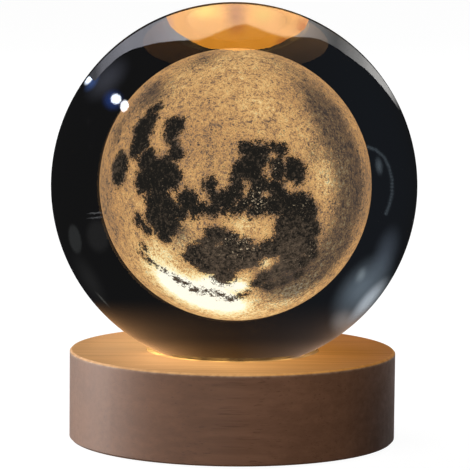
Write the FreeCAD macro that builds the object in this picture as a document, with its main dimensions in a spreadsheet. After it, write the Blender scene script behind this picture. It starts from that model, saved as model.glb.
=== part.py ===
import FreeCAD, Part
import math
import os
import Sketcher
from FreeCAD import Placement, Rotation, Vector

# A moon lamp: a solid glass ball with the moon engraved inside it, resting in a seat ring on a turned wooden
# base. LEDs in the base light the ball from below. Millimetres, +Z up; the front faces -Y, and the inlet and
# the button face +Y. The origin is the middle of the face that the lamp stands on.

SIZES = {
    # Glass ball and the moon inside it
    "ball_radius": 40.0,
    "moon_radius": 19.7,
    "engraving_depth": 0.5,
    "engraving_gap": 0.2,
    # Turned wooden base
    "base_radius": 35.75,
    "base_edge": 0.4,
    "base_wall": 9.75,
    "base_rim": 2.55,
    "foot_gap": 0.5,
    "deck_thickness": 7.0,
    "cavity_height": 9.8,
    # Seat ring in the top of the base
    "seat_radius": 19.0,
    "seat_depth": 2.2,
    "seat_step": 2.0,
    "seat_fit": 0.15,
    "seat_lift": 0.05,
    "seat_land": 1.25,
    "contact_inset": 0.6,
    "bore_inset": 1.1,
    "ball_clearance": 0.2,
    # Bottom cover and the pad under it
    "pad_inset": 1.0,
    "pad_thickness": 1.2,
    "cover_fit": 0.2,
    "cover_thickness": 2.0,
    # Light engine
    "cup_fit": 0.2,
    "cup_headroom": 0.3,
    "cup_wall": 1.1,
    "cup_ledge": 1.3,
    "cup_rebate_height": 1.2,
    "diffuser_fit": 0.1,
    "diffuser_thickness": 1.0,
    "led_board_thickness": 1.0,
    "led_board_rim": 2.2,
    "led_board_flat_depth": 1.4,
    "led_circle": 10.0,
    "led_width": 2.8,
    "led_length": 3.5,
    "led_height": 0.8,
    "resistor_circle": 13.0,
    "resistor_length": 2.0,
    "resistor_width": 1.25,
    "resistor_height": 0.5,
    # Control board and its parts
    "board_length": 12.1,
    "board_rim": 1.7,
    "board_gap": 0.2,
    "board_lift": 2.0,
    "board_thickness": 1.2,
    "notch_fit": 0.3,
    "chip_place": -3.5,
    "chip_gap": 0.6,
    "chip_width": 4.9,
    "chip_length": 3.9,
    "chip_height": 1.5,
    "capacitor_length": 1.6,
    "capacitor_width": 0.9,
    "capacitor_height": 0.8,
    "capacitor_gap": 0.4,
    # Power inlet
    "inlet_place": -4.2,
    "inlet_width": 8.94,
    "inlet_height": 3.26,
    "inlet_wall": 0.3,
    "inlet_length": 8.6,
    "inlet_setback": 0.2,
    "inlet_fit": 0.1,
    "tongue_width": 6.69,
    "tongue_thickness": 0.7,
    "tongue_setback": 0.7,
    "tongue_root": 2.2,
    "tongue_fit": 0.03,
    "contact_width": 0.25,
    "contact_pitch": 0.5,
    "contact_thickness": 0.08,
    "contact_length": 4.4,
    # Push switch and its button
    "button_place": 4.4,
    "button_radius": 2.5,
    "button_fit": 0.2,
    "button_reach": 1.15,
    "button_collar_width": 0.6,
    "button_collar_thickness": 0.6,
    "button_collar_gap": 0.05,
    "button_edge": 0.5,
    "button_travel": 1.0,
    "switch_gap": 0.15,
    "switch_width": 5.6,
    "switch_length": 5.0,
    "switch_height": 4.0,
    "switch_wall": 0.6,
    "switch_front_wall": 0.8,
    "switch_bore_radius": 1.5,
    "plunger_radius": 0.85,
    "plunger_head_radius": 1.35,
    "plunger_head_thickness": 1.0,
    "plunger_fit": 0.1,
    "plunger_grip": 1.9,
    "spring_radius": 0.95,
    "spring_wire": 0.125,
    "spring_turns": 5.0,
    # Rear bezel in the slot of the base
    "rear_wall": 4.75,
    "bezel_sink": 1.55,
    "bezel_ledge": 1.5,
    "bezel_height": 8.4,
    "bezel_fit": 0.2,
    "flange_thickness": 1.2,
    "flange_fit": 0.2,
    "pillar_radius": 1.9,
    "pillar_side_gap": 0.2,
    "pillar_wall_gap": 0.3,
    "pillar_back_gap": 0.5,
    "arm_gap": 0.94,
    # Leads from the control board to the LED board
    "lead_radius": 0.6,
    "lead_place": 2.4,
    "lead_inset": 1.1,
    "lead_run": 6.6,
    "lead_rise": 0.6,
    "joint_radius": 0.9,
    "joint_height": 0.8,
    # Screws
    "screw_radius": 1.0,
    "screw_fit": 0.05,
    "screw_head_radius": 1.9,
    "screw_head_height": 1.2,
    "recess_arm": 1.1,
    "recess_width": 0.5,
    "recess_depth": 0.5,
    "hole_spare": 0.4,
    "cover_screw_inset": 3.7,
    "cover_screw_length": 9.0,
    "led_screw_inset": 2.8,
    "led_screw_bite": 3.4,
    "board_screw_bite": 3.2,
}

# Heights, radii and distances that follow from the sizes above
PLACES = {
    # The base, from the floor up and from the outside in
    "cover_top": "Sizes.pad_thickness + Sizes.cover_thickness",
    "deck_floor": "cover_top + Sizes.cavity_height",
    "base_top": "deck_floor + Sizes.deck_thickness",
    "seat_floor": "base_top - Sizes.seat_depth",
    "cavity_radius": "Sizes.base_radius - Sizes.base_wall",
    "recess_radius": "Sizes.base_radius - Sizes.base_rim",
    "cover_radius": "recess_radius - Sizes.cover_fit",
    "cover_screw_circle": "recess_radius - Sizes.cover_screw_inset",
    "well_radius": "Sizes.seat_radius - Sizes.seat_step",
    "screw_hole_radius": "Sizes.screw_radius + Sizes.screw_fit",
    # The seat and the ball in it
    "seat_lip_radius": "Sizes.seat_radius - Sizes.seat_fit - Sizes.seat_land",
    "contact_radius": "seat_lip_radius - Sizes.contact_inset",
    "seat_bore_radius": "contact_radius - Sizes.bore_inset",
    "ball_drop": "sqrt(Sizes.ball_radius ^ 2 - contact_radius ^ 2)",
    "seat_slope": "contact_radius / ball_drop",
    "contact_height": "base_top - Sizes.contact_inset * seat_slope",
    "ball_centre": "contact_height + ball_drop + Sizes.ball_clearance",
    # The light engine under the ball
    "cup_radius": "well_radius - Sizes.cup_fit",
    "cup_rebate_radius": "cup_radius - Sizes.cup_wall",
    "cup_bore_radius": "cup_rebate_radius - Sizes.cup_ledge",
    "cup_top": "seat_floor - Sizes.cup_headroom",
    "cup_rebate_floor": "deck_floor + Sizes.cup_rebate_height",
    "led_board_floor": "deck_floor - Sizes.led_board_thickness",
    "led_screw_circle": "well_radius + Sizes.led_screw_inset",
    "led_board_radius": "led_screw_circle + Sizes.led_board_rim",
    # The rear wall, the bezel in it and the inlet
    "pocket_back": "Sizes.base_radius - Sizes.rear_wall",
    "bezel_face": "Sizes.base_radius - Sizes.bezel_sink",
    "flange_back": "pocket_back - Sizes.flange_thickness",
    "board_bottom": "cover_top + Sizes.board_lift",
    "board_top": "board_bottom + Sizes.board_thickness",
    "board_back": "flange_back - Sizes.board_gap",
    "board_front": "board_back - Sizes.board_length",
    "inlet_centre": "board_top + Sizes.inlet_height / 2",
    "inlet_front": "bezel_face - Sizes.inlet_setback",
    "inlet_back": "inlet_front - Sizes.inlet_length",
    "tongue_front": "inlet_front - Sizes.tongue_setback",
    "chip_back": "inlet_back - Sizes.chip_gap",
    # The pillars, which clear the switch at their side and the inlet behind them
    "switch_side": "Sizes.button_place + Sizes.switch_width / 2",
    "pillar_place": "switch_side + Sizes.pillar_side_gap + Sizes.pillar_radius",
    "pillar_depth": "inlet_back - Sizes.pillar_back_gap - Sizes.pillar_radius",
    "board_half": "pillar_place + Sizes.board_rim",
    "pocket_half": "pillar_place + Sizes.pillar_radius + Sizes.pillar_wall_gap",
    "flange_half": "pocket_half - Sizes.flange_fit",
    "bezel_width": "2 * (pocket_half - Sizes.bezel_ledge)",
    "arm_floor": "board_top + Sizes.inlet_height + Sizes.arm_gap",
    "pillar_foot": "pillar_depth - Sizes.pillar_radius - Sizes.pillar_back_gap",
    "led_board_flat": "min(pillar_foot; led_board_radius - Sizes.led_board_flat_depth)",
    # The button, its switch and its spring, from the bezel inwards
    "button_tip": "bezel_face + Sizes.button_reach",
    "collar_radius": "Sizes.button_radius + Sizes.button_collar_width",
    "collar_back": "flange_back - Sizes.button_collar_gap",
    "collar_front": "collar_back - Sizes.button_collar_thickness",
    "stem_end": "collar_front + Sizes.plunger_grip",
    "switch_front": "collar_front - Sizes.button_travel - Sizes.switch_gap",
    "switch_back": "switch_front - Sizes.switch_length",
    "plunger_front": "switch_front - Sizes.switch_front_wall - Sizes.plunger_fit",
    "plunger_back": "plunger_front - Sizes.plunger_head_thickness",
    "spring_back": "switch_back + Sizes.switch_wall",
    # The leads
    "lead_start": "board_front + Sizes.lead_inset",
    "lead_turn": "lead_start - Sizes.lead_run",
    "lead_floor": "board_top + Sizes.lead_radius",
    "lead_bend": "led_board_floor - lead_floor - Sizes.lead_rise",
}

# Seas of the moon's near side and far side: latitude and longitude in degrees, east and north positive, and
# diameter in kilometres. A sea of uneven shape is several circles.
SEAS = [
    ("Crisium", 16.5, 59.0, 440),
    ("Serenitatis", 27.3, 18.4, 660),
    ("Tranquillitatis", 8.3, 30.8, 780),
    ("Fecunditatis", -4.6, 51.5, 640),
    ("Nectaris", -15.2, 34.9, 290),
    ("Imbrium", 35.0, -17.0, 1020),
    ("Humorum", -24.4, -38.6, 380),
    ("Nubium", -20.8, -17.0, 600),
    ("Cognitum", -10.5, -22.8, 340),
    ("Insularum", 4.5, -33.0, 330),
    ("Vaporum", 13.2, 4.1, 230),
    ("Aestuum", 9.5, -9.5, 260),
    ("Procellarum_north", 38.0, -55.0, 560),
    ("Procellarum_middle", 18.0, -57.0, 640),
    ("Procellarum_south", 1.0, -49.0, 560),
    ("Humboldtianum", 56.8, 81.5, 230),
    ("Orientale", -19.4, -92.8, 327),
    ("Moscoviense", 27.3, 147.9, 277),
    ("Ingenii", -33.7, 163.5, 318),
]
LUNAR_RADIUS = 1737.4
SEA_START = 0.8
SEA_LENGTH = 0.35

# How the moon stands in the ball: turned about Z, then about Y, then about X, in degrees
MOON_TURN = Rotation(-100.52, -5.40, 154.54)

document = FreeCAD.newDocument("MoonLamp")
sizes = document.addObject("Spreadsheet::Sheet", "Sizes")
places = document.addObject("App::VarSet", "Places")
subparts = []


def fill_sheet():
    """Write each size into its own cell, and bind each place to them."""
    for row, (alias, value) in enumerate(SIZES.items(), start=1):
        sizes.set(f"A{row}", str(value))
        sizes.setAlias(f"A{row}", alias)
    document.recompute()
    for name in PLACES:
        places.addProperty("App::PropertyFloat", name)
    for name, rule in PLACES.items():
        places.setExpression(name, rule)
    document.recompute()


def value_of(rule):
    """The number that an expression on the sheet gives now."""
    return float(sizes.evalExpression(rule))


def keep(piece, label):
    """Count a finished piece as a sub-part under its own label."""
    piece.Label = label
    subparts.append(piece)
    return piece


# ---- Sketches and features of a body ----

def new_body(name):
    return document.addObject("PartDesign::Body", name + "_body")


def origin_feature(body, role):
    return next(feature for feature in body.Origin.OriginFeatures if feature.Role == role)


def new_sketch(body, name, plane, across=None, height=None):
    """An empty sketch on an origin plane, moved along its own X and along its normal by two expressions."""
    sketch = body.newObject("Sketcher::SketchObject", name)
    sketch.AttachmentSupport = [(origin_feature(body, plane), "")]
    sketch.MapMode = "FlatFace"
    if across:
        sketch.setExpression("AttachmentOffset.Base.x", across)
    if height:
        sketch.setExpression("AttachmentOffset.Base.z", height)
    return sketch


def bind_point(sketch, geometry, end, across, up):
    """Hold one point of a sketch at two expressions from the sketch's origin."""
    for kind, rule in (("DistanceX", across), ("DistanceY", up)):
        constraint = Sketcher.Constraint(kind, -1, 1, geometry, end, value_of(rule))
        index = sketch.addConstraint(constraint)
        sketch.setExpression(f"Constraints[{index}]", rule)


def add_outline(sketch, corners):
    """Draw a closed outline of straight sides through corners, each a pair of expressions."""
    first = sketch.GeometryCount
    points = [Vector(value_of(across), value_of(up), 0) for across, up in corners]
    for start, end in zip(points, points[1:] + points[:1]):
        sketch.addGeometry(Part.LineSegment(start, end), False)
    for index, (across, up) in enumerate(corners):
        following = first + (index + 1) % len(corners)
        sketch.addConstraint(Sketcher.Constraint("Coincident", first + index, 2, following, 1))
        bind_point(sketch, first + index, 1, across, up)
    return sketch


def add_rectangle(sketch, left, right, low, high):
    return add_outline(sketch, [(left, low), (right, low), (right, high), (left, high)])


def add_circle(sketch, radius, across="0", up="0"):
    """Draw a circle of a radius about a centre, all three given as expressions."""
    centre = Vector(value_of(across), value_of(up), 0)
    circle = Part.Circle(centre, Vector(0, 0, 1), value_of(radius))
    geometry = sketch.addGeometry(circle, False)
    index = sketch.addConstraint(Sketcher.Constraint("Radius", geometry, value_of(radius)))
    sketch.setExpression(f"Constraints[{index}]", radius)
    bind_point(sketch, geometry, 3, across, up)
    return sketch


def add_stadium(sketch, width, height, across, up):
    """Draw a slot outline with round ends: two half circles joined by two level lines."""
    radius = value_of(height) / 2
    reach = value_of(width) / 2 - radius
    middle = Vector(value_of(across), value_of(up), 0)
    first = sketch.GeometryCount
    for side, turn in ((1, -90), (-1, 90)):
        circle = Part.Circle(middle + Vector(side * reach, 0, 0), Vector(0, 0, 1), radius)
        start = math.radians(turn)
        sketch.addGeometry(Part.ArcOfCircle(circle, start, start + math.pi), False)
    top = middle + Vector(0, radius, 0)
    bottom = middle - Vector(0, radius, 0)
    half = Vector(reach, 0, 0)
    sketch.addGeometry(Part.LineSegment(top + half, top - half), False)
    sketch.addGeometry(Part.LineSegment(bottom - half, bottom + half), False)
    for arc, arc_end, line, line_end in ((0, 2, 2, 1), (2, 2, 1, 1), (1, 2, 3, 1), (3, 2, 0, 1)):
        sketch.addConstraint(Sketcher.Constraint("Tangent", first + arc, arc_end, first + line, line_end))
    bind_point(sketch, first, 3, f"{across} + ({width} - {height}) / 2", up)
    bind_point(sketch, first + 1, 3, f"{across} - ({width} - {height}) / 2", up)
    index = sketch.addConstraint(Sketcher.Constraint("Radius", first, radius))
    sketch.setExpression(f"Constraints[{index}]", f"({height}) / 2")
    return sketch


def turned(body, kind, sketch):
    """Turn a sketch once around its own vertical axis, as a Revolution or a Groove."""
    feature = body.newObject("PartDesign::" + kind, sketch.Name + "_turned")
    feature.Profile = sketch
    feature.ReferenceAxis = (sketch, ["V_Axis"])
    feature.Angle = 360
    return feature


def extruded(body, kind, sketch, length, along_normal=True):
    """Pad or pocket a sketch by a length, along its normal or against it."""
    feature = body.newObject("PartDesign::" + kind, sketch.Name + "_run")
    feature.Profile = sketch
    feature.setExpression("Length", length)
    feature.Reversed = along_normal == (kind == "Pocket")
    return feature


def ring_pattern(body, features, count):
    """Repeat features evenly around Z."""
    pattern = body.newObject("PartDesign::PolarPattern", features[0].Name + "_ring")
    pattern.Originals = features
    pattern.Axis = (origin_feature(body, "Z_Axis"), [""])
    pattern.Angle = 360
    pattern.Occurrences = count
    body.Tip = pattern
    return pattern


def mirror_pattern(body, features, plane="YZ_Plane"):
    """Repeat features on the other side of an origin plane."""
    pattern = body.newObject("PartDesign::Mirrored", features[0].Name + "_pair")
    pattern.Originals = features
    pattern.MirrorPlane = (origin_feature(body, plane), [""])
    body.Tip = pattern
    return pattern


def eased(body, base, size, is_edge, kind="Chamfer"):
    """Chamfer or fillet the edges of a feature that a test picks out."""
    document.recompute()
    edges = base.Shape.Edges
    names = [f"Edge{index}" for index, edge in enumerate(edges, start=1) if is_edge(edge)]
    feature = body.newObject("PartDesign::" + kind, base.Name + "_eased")
    feature.Base = (base, names)
    feature.setExpression("Size" if kind == "Chamfer" else "Radius", size)
    return feature


def whole_circle(edge, radius):
    """True for a circular edge of a radius."""
    return isinstance(edge.Curve, Part.Circle) and abs(edge.Curve.Radius - radius) < 1e-6


# ---- Plain solids ----

def cylinder(name, radius, length):
    solid = document.addObject("Part::Cylinder", name)
    solid.setExpression("Radius", radius)
    solid.setExpression("Height", length)
    return solid


def sphere(name, radius):
    solid = document.addObject("Part::Sphere", name)
    solid.setExpression("Radius", radius)
    return solid


def box(name, corner, extent):
    """A box from its lowest corner and its three lengths, all expressions."""
    solid = document.addObject("Part::Box", name)
    for side, length in zip(("Length", "Width", "Height"), extent):
        solid.setExpression(side, length)
    put(solid, *corner)
    return solid


def put(piece, across="0", depth="0", up="0"):
    """Hold a piece's place at three expressions."""
    for axis, rule in zip("xyz", (across, depth, up)):
        piece.setExpression(f"Placement.Base.{axis}", rule)
    return piece


def cut(name, base, tool):
    result = document.addObject("Part::Cut", name)
    result.Base = base
    result.Tool = tool
    return result


def fused(name, pieces):
    result = document.addObject("Part::MultiFuse", name)
    result.Shapes = pieces
    return result


def grouped(name, pieces):
    """Separate solids that share one node."""
    result = document.addObject("Part::Compound", name)
    result.Links = pieces
    return result


# ---- Glass ball and its moon ----

def sea_direction(latitude, longitude):
    """Unit vector from the moon's centre to a place on it, as the moon stands in the ball."""
    north = math.radians(latitude)
    east = math.radians(longitude)
    flat = math.cos(north)
    return MOON_TURN.multVec(Vector(flat * math.cos(east), flat * math.sin(east), math.sin(north)))


def sea_rods(prefix, inset):
    """Rods along the middle of each sea, which cut round windows into the moon's thin shell."""
    rods = []
    for name, latitude, longitude, diameter in SEAS:
        half_angle = math.degrees(diameter / 2 / LUNAR_RADIUS)
        rod = cylinder(f"{prefix}_{name}", f"Sizes.moon_radius * sin({half_angle:.3f} deg) - ({inset})",
                       f"Sizes.moon_radius * {SEA_LENGTH}")
        way = sea_direction(latitude, longitude)
        rod.Placement = Placement(Vector(), Rotation(Vector(0, 0, 1), way))
        start = [f"Sizes.moon_radius * {SEA_START * part:.6f}" for part in way]
        put(rod, start[0], start[1], f"Places.ball_centre + {start[2]}")
        rods.append(rod)
    return fused(prefix + "_rods", rods)


def moon_layer(prefix, gap):
    """A thin shell at the moon's radius, with a window for each sea, grown on every side by a gap."""
    outer = put(sphere(prefix + "_outside", f"Sizes.moon_radius + ({gap})"), up="Places.ball_centre")
    inner_radius = f"Sizes.moon_radius - Sizes.engraving_depth - ({gap})"
    inner = put(sphere(prefix + "_inside", inner_radius), up="Places.ball_centre")
    for layer in (outer, inner):
        layer.Placement.Rotation = MOON_TURN
    return cut(prefix, cut(prefix + "_shell", outer, inner), sea_rods(prefix, gap))


def make_engraved_moon():
    """The engraved layer: highlands of fine cracks, and clear windows where the dark seas are."""
    keep(moon_layer("moon_layer", "0"), "engraved_moon")


def make_glass_ball():
    """A glass ball with room for the engraved layer; its glass runs through the seas to the core."""
    ball = put(sphere("ball_outside", "Sizes.ball_radius"), up="Places.ball_centre")
    room = moon_layer("moon_room", "Sizes.engraving_gap")
    keep(cut("ball_cut", ball, room), "glass_ball")


# ---- Wooden base, seat ring, cover and pad ----

def make_wooden_base():
    """A turned disc with a light well through its top, an inner cavity, and a slot for the rear bezel."""
    body = new_body("base")
    outline = add_outline(new_sketch(body, "base_outline", "XZ_Plane"), [
        ("Places.well_radius", "Places.deck_floor"),
        ("Places.cavity_radius", "Places.deck_floor"),
        ("Places.cavity_radius", "Places.cover_top"),
        ("Places.recess_radius", "Places.cover_top"),
        ("Places.recess_radius", "Sizes.foot_gap"),
        ("Sizes.base_radius", "Sizes.foot_gap"),
        ("Sizes.base_radius", "Places.base_top"),
        ("Sizes.seat_radius", "Places.base_top"),
        ("Sizes.seat_radius", "Places.seat_floor"),
        ("Places.well_radius", "Places.seat_floor"),
    ])
    turned_base = turned(body, "Revolution", outline)
    rim = sizes.base_radius
    eased(body, turned_base, "Sizes.base_edge", lambda edge: whole_circle(edge, rim))
    pocket = new_sketch(body, "rear_pocket", "XY_Plane", height="Places.cover_top")
    add_rectangle(pocket, "-Places.pocket_half", "Places.pocket_half", "0", "Places.pocket_back")
    extruded(body, "Pocket", pocket, "Places.deck_floor - Places.cover_top")
    slot = new_sketch(body, "rear_slot", "XZ_Plane", height="-Places.pocket_back + Sizes.flange_thickness")
    add_stadium(slot, "(Places.bezel_width + 2 * Sizes.bezel_fit)",
                "(Sizes.bezel_height + 2 * Sizes.bezel_fit)", "0", "Places.inlet_centre")
    extruded(body, "Pocket", slot, "Sizes.base_radius - Places.pocket_back + Sizes.flange_thickness",
             along_normal=False)
    pilot_hole(body, "cover_pilot", "-Places.cover_screw_circle", "0", "Places.cover_top",
               "Sizes.pad_thickness + Sizes.cover_screw_length - Places.cover_top", 3)
    pilot_hole(body, "led_pilot", "-Places.led_screw_circle", "0", "Places.deck_floor",
               "Sizes.led_screw_bite", 3)
    pilot_hole(body, "board_pilot", "Places.pillar_depth", "Places.pillar_place", "Places.deck_floor",
               "Sizes.board_screw_bite", 2)
    keep(body, "wooden_base")


def pilot_hole(body, name, depth, across, floor, bite, count):
    """Blind holes that go up from a floor: three around Z, or a pair mirrored in the YZ plane."""
    sketch = new_sketch(body, name, "XY_Plane", height=floor)
    add_circle(sketch, "Places.screw_hole_radius", across, depth)
    hole = extruded(body, "Pocket", sketch, f"{bite} + Sizes.hole_spare")
    if count == 2:
        return mirror_pattern(body, [hole])
    return ring_pattern(body, [hole], count)


def make_seat_ring():
    """A soft ring whose cone touches the ball all round; it lies loose in its counterbore."""
    body = new_body("seat")
    bottom = "Places.seat_floor + Sizes.seat_lift"
    outside = "Sizes.seat_radius - Sizes.seat_fit"
    bore_top = "Places.base_top - (Places.seat_lip_radius - Places.seat_bore_radius) * Places.seat_slope"
    outline = add_outline(new_sketch(body, "seat_outline", "XZ_Plane"), [
        ("Places.seat_bore_radius", bottom),
        (outside, bottom),
        (outside, "Places.base_top"),
        ("Places.seat_lip_radius", "Places.base_top"),
        ("Places.seat_bore_radius", bore_top),
    ])
    turned(body, "Revolution", outline)
    keep(body, "seat_ring")


def make_bottom_cover():
    """A flat cover with three countersunk holes, let into the underside of the base."""
    body = new_body("cover")
    disc = new_sketch(body, "cover_disc", "XY_Plane", height="Sizes.pad_thickness")
    extruded(body, "Pad", add_circle(disc, "Places.cover_radius"), "Sizes.cover_thickness")
    sink = new_sketch(body, "cover_sink", "YZ_Plane", across="-Places.cover_screw_circle")
    add_outline(sink, [
        ("0", "Sizes.pad_thickness"),
        ("Sizes.screw_head_radius + Sizes.screw_fit", "Sizes.pad_thickness"),
        ("Places.screw_hole_radius", "Sizes.pad_thickness + Sizes.screw_head_height"),
        ("Places.screw_hole_radius", "Places.cover_top"),
        ("0", "Places.cover_top"),
    ])
    ring_pattern(body, [turned(body, "Groove", sink)], 3)
    keep(body, "bottom_cover")


def make_anti_slip_pad():
    """A foam disc stuck under the cover, over its screws."""
    pad = cylinder("pad_disc", "Places.cover_radius - Sizes.pad_inset", "Sizes.pad_thickness")
    keep(pad, "anti_slip_pad")


# ---- Light engine ----

def make_reflector_cup():
    """A white cup around the LEDs, with a rebate that carries the diffuser."""
    body = new_body("cup")
    outside = "Places.well_radius - Sizes.cup_fit"
    outline = add_outline(new_sketch(body, "cup_outline", "XZ_Plane"), [
        ("Places.cup_bore_radius", "Places.deck_floor"),
        (outside, "Places.deck_floor"),
        (outside, "Places.cup_top"),
        ("Places.cup_rebate_radius", "Places.cup_top"),
        ("Places.cup_rebate_radius", "Places.cup_rebate_floor"),
        ("Places.cup_bore_radius", "Places.cup_rebate_floor"),
    ])
    turned(body, "Revolution", outline)
    keep(body, "reflector_cup")


def make_diffuser_disc():
    """A frosted disc in the cup's rebate."""
    disc = cylinder("diffuser", "Places.cup_rebate_radius - Sizes.diffuser_fit", "Sizes.diffuser_thickness")
    keep(put(disc, up="Places.cup_rebate_floor"), "diffuser_disc")


def make_led_board():
    """A round board under the deck, held by three screws; a flat at its back clears the bezel's pillars."""
    body = new_body("led_board")
    disc = new_sketch(body, "led_board_disc", "XY_Plane", height="Places.led_board_floor")
    extruded(body, "Pad", add_circle(disc, "Places.led_board_radius"), "Sizes.led_board_thickness")
    hole = new_sketch(body, "led_board_hole", "XY_Plane", height="Places.led_board_floor")
    add_circle(hole, "Places.screw_hole_radius", "0", "-Places.led_screw_circle")
    ring_pattern(body, [extruded(body, "Pocket", hole, "Sizes.led_board_thickness")], 3)
    flat = new_sketch(body, "led_board_flat", "XY_Plane", height="Places.led_board_floor")
    add_rectangle(flat, "-Places.led_board_radius", "Places.led_board_radius",
                  "Places.led_board_flat", "Places.cavity_radius")
    extruded(body, "Pocket", flat, "Sizes.led_board_thickness")
    keep(body, "led_board")


def make_ring_of_chips(label, circle, length, width, floor, height, count):
    """Equal blocks on a circle around Z, each with its length towards the middle."""
    body = new_body(label)
    sketch = new_sketch(body, label + "_block", "XY_Plane", height=floor)
    add_rectangle(sketch, f"{circle} - {length} / 2", f"{circle} + {length} / 2",
                  f"-{width} / 2", f"{width} / 2")
    ring_pattern(body, [extruded(body, "Pad", sketch, height)], count)
    keep(body, label)


def make_leds():
    make_ring_of_chips("warm_leds", "Sizes.led_circle", "Sizes.led_length", "Sizes.led_width",
                       "Places.deck_floor", "Sizes.led_height", 6)
    make_ring_of_chips("led_resistors", "Sizes.resistor_circle", "Sizes.resistor_length",
                       "Sizes.resistor_width", "Places.led_board_floor - Sizes.resistor_height",
                       "Sizes.resistor_height", 3)


# ---- Screws ----

def screw_features(body, name, sketch_plane, across, height, seat, length, countersunk):
    """One screw that points up: its head is under a seat height, or ends at it when countersunk."""
    floor = f"({seat})" if countersunk else f"({seat} - Sizes.screw_head_height)"
    head_top = f"{floor} + Sizes.screw_head_height"
    tip = f"{floor} + {length}"
    corners = [("0", floor), ("Sizes.screw_head_radius", floor)]
    if not countersunk:
        corners.append(("Sizes.screw_head_radius", head_top))
    corners += [
        ("Sizes.screw_radius", head_top),
        ("Sizes.screw_radius", f"{tip} - Sizes.screw_radius"),
        ("0", tip),
    ]
    outline = add_outline(new_sketch(body, name + "_outline", sketch_plane, across, height), corners)
    return turned(body, "Revolution", outline)


def recess_feature(body, name, across, depth, floor):
    """A cross recess in the underside of a screw's head."""
    sketch = new_sketch(body, name + "_recess", "XY_Plane", height=floor)
    arm = "Sizes.recess_arm"
    half = "Sizes.recess_width / 2"
    turns = [(arm, half), (half, half), (half, arm)]
    corners = []
    for side_x, side_y in ((1, 1), (-1, 1), (-1, -1), (1, -1)):
        run = turns if side_x == side_y else turns[::-1]
        corners += [(f"{across} + {side_x} * {x}", f"{depth} + {side_y} * {y}") for x, y in run]
    add_outline(sketch, corners)
    return extruded(body, "Pocket", sketch, "Sizes.recess_depth")


def make_cover_screws():
    """Three countersunk screws through the cover into the base."""
    body = new_body("cover_screws")
    screw = screw_features(body, "cover_screw", "YZ_Plane", "-Places.cover_screw_circle", None,
                           "Sizes.pad_thickness", "Sizes.cover_screw_length", True)
    recess = recess_feature(body, "cover_screw", "0", "-Places.cover_screw_circle", "Sizes.pad_thickness")
    ring_pattern(body, [screw, recess], 3)
    keep(body, "cover_screws")


def make_led_board_screws():
    """Three pan head screws through the LED board into the deck."""
    body = new_body("led_board_screws")
    length = "Sizes.screw_head_height + Sizes.led_board_thickness + Sizes.led_screw_bite"
    screw = screw_features(body, "led_screw", "YZ_Plane", "-Places.led_screw_circle", None,
                           "Places.led_board_floor", length, False)
    floor = "Places.led_board_floor - Sizes.screw_head_height"
    recess = recess_feature(body, "led_screw", "0", "-Places.led_screw_circle", floor)
    ring_pattern(body, [screw, recess], 3)
    keep(body, "led_board_screws")


def make_control_board_screws():
    """Two pan head screws through the control board and the bezel's pillars into the deck."""
    body = new_body("control_board_screws")
    length = "Sizes.screw_head_height + Places.deck_floor - Places.board_bottom + Sizes.board_screw_bite"
    screw = screw_features(body, "board_screw", "XZ_Plane", "Places.pillar_place", "-Places.pillar_depth",
                           "Places.board_bottom", length, False)
    floor = "Places.board_bottom - Sizes.screw_head_height"
    recess = recess_feature(body, "board_screw", "Places.pillar_place", "Places.pillar_depth", floor)
    mirror_pattern(body, [screw, recess])
    keep(body, "control_board_screws")


# ---- Control board ----

def make_control_board():
    """The board behind the inlet and the button, hung from two pillars and notched below the button."""
    body = new_body("control_board")
    sheet = new_sketch(body, "control_board_outline", "XY_Plane", height="Places.board_bottom")
    add_rectangle(sheet, "-Places.board_half", "Places.board_half", "Places.board_front", "Places.board_back")
    extruded(body, "Pad", sheet, "Sizes.board_thickness")
    hole = new_sketch(body, "control_board_hole", "XY_Plane", height="Places.board_bottom")
    add_circle(hole, "Places.screw_hole_radius", "Places.pillar_place", "Places.pillar_depth")
    mirror_pattern(body, [extruded(body, "Pocket", hole, "Sizes.board_thickness")])
    notch = new_sketch(body, "control_board_notch", "XY_Plane", height="Places.board_top")
    half = "(Places.collar_radius + Sizes.notch_fit)"
    add_rectangle(notch, f"Sizes.button_place - {half}", f"Sizes.button_place + {half}",
                  "Places.switch_front", "Places.board_back + Sizes.notch_fit")
    extruded(body, "Pocket", notch, "Sizes.board_thickness", along_normal=False)
    keep(body, "control_board")


def make_driver_chip():
    """The chip that switches and dims the LEDs."""
    corner = ("Sizes.chip_place - Sizes.chip_width / 2", "Places.chip_back - Sizes.chip_length",
              "Places.board_top")
    chip = box("chip", corner, ("Sizes.chip_width", "Sizes.chip_length", "Sizes.chip_height"))
    keep(chip, "driver_chip")


def make_board_capacitors():
    """Two capacitors in a row beside the switch."""
    blocks = []
    for index in range(2):
        pitch = "(Sizes.capacitor_width + Sizes.capacitor_gap)"
        back = f"Places.board_back - Sizes.capacitor_gap - {index} * {pitch}"
        corner = ("Places.board_half - Sizes.capacitor_gap - Sizes.capacitor_length",
                  f"{back} - Sizes.capacitor_width", "Places.board_top")
        extent = ("Sizes.capacitor_length", "Sizes.capacitor_width", "Sizes.capacitor_height")
        blocks.append(box(f"capacitor_{index}", corner, extent))
    keep(grouped("capacitors", blocks), "board_capacitors")


def make_solder_joints():
    """A bead of solder at the board end of each lead."""
    beads = []
    for side in (-1, 1):
        bead = document.addObject("Part::Cone", "bead_left" if side < 0 else "bead_right")
        bead.setExpression("Radius1", "Sizes.joint_radius")
        bead.setExpression("Radius2", "Sizes.joint_radius / 2")
        bead.setExpression("Height", "Sizes.joint_height")
        beads.append(put(bead, f"{side} * Sizes.lead_place", "Places.lead_start + Sizes.joint_radius",
                         "Places.board_top"))
    keep(grouped("beads", beads), "solder_joints")


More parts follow.
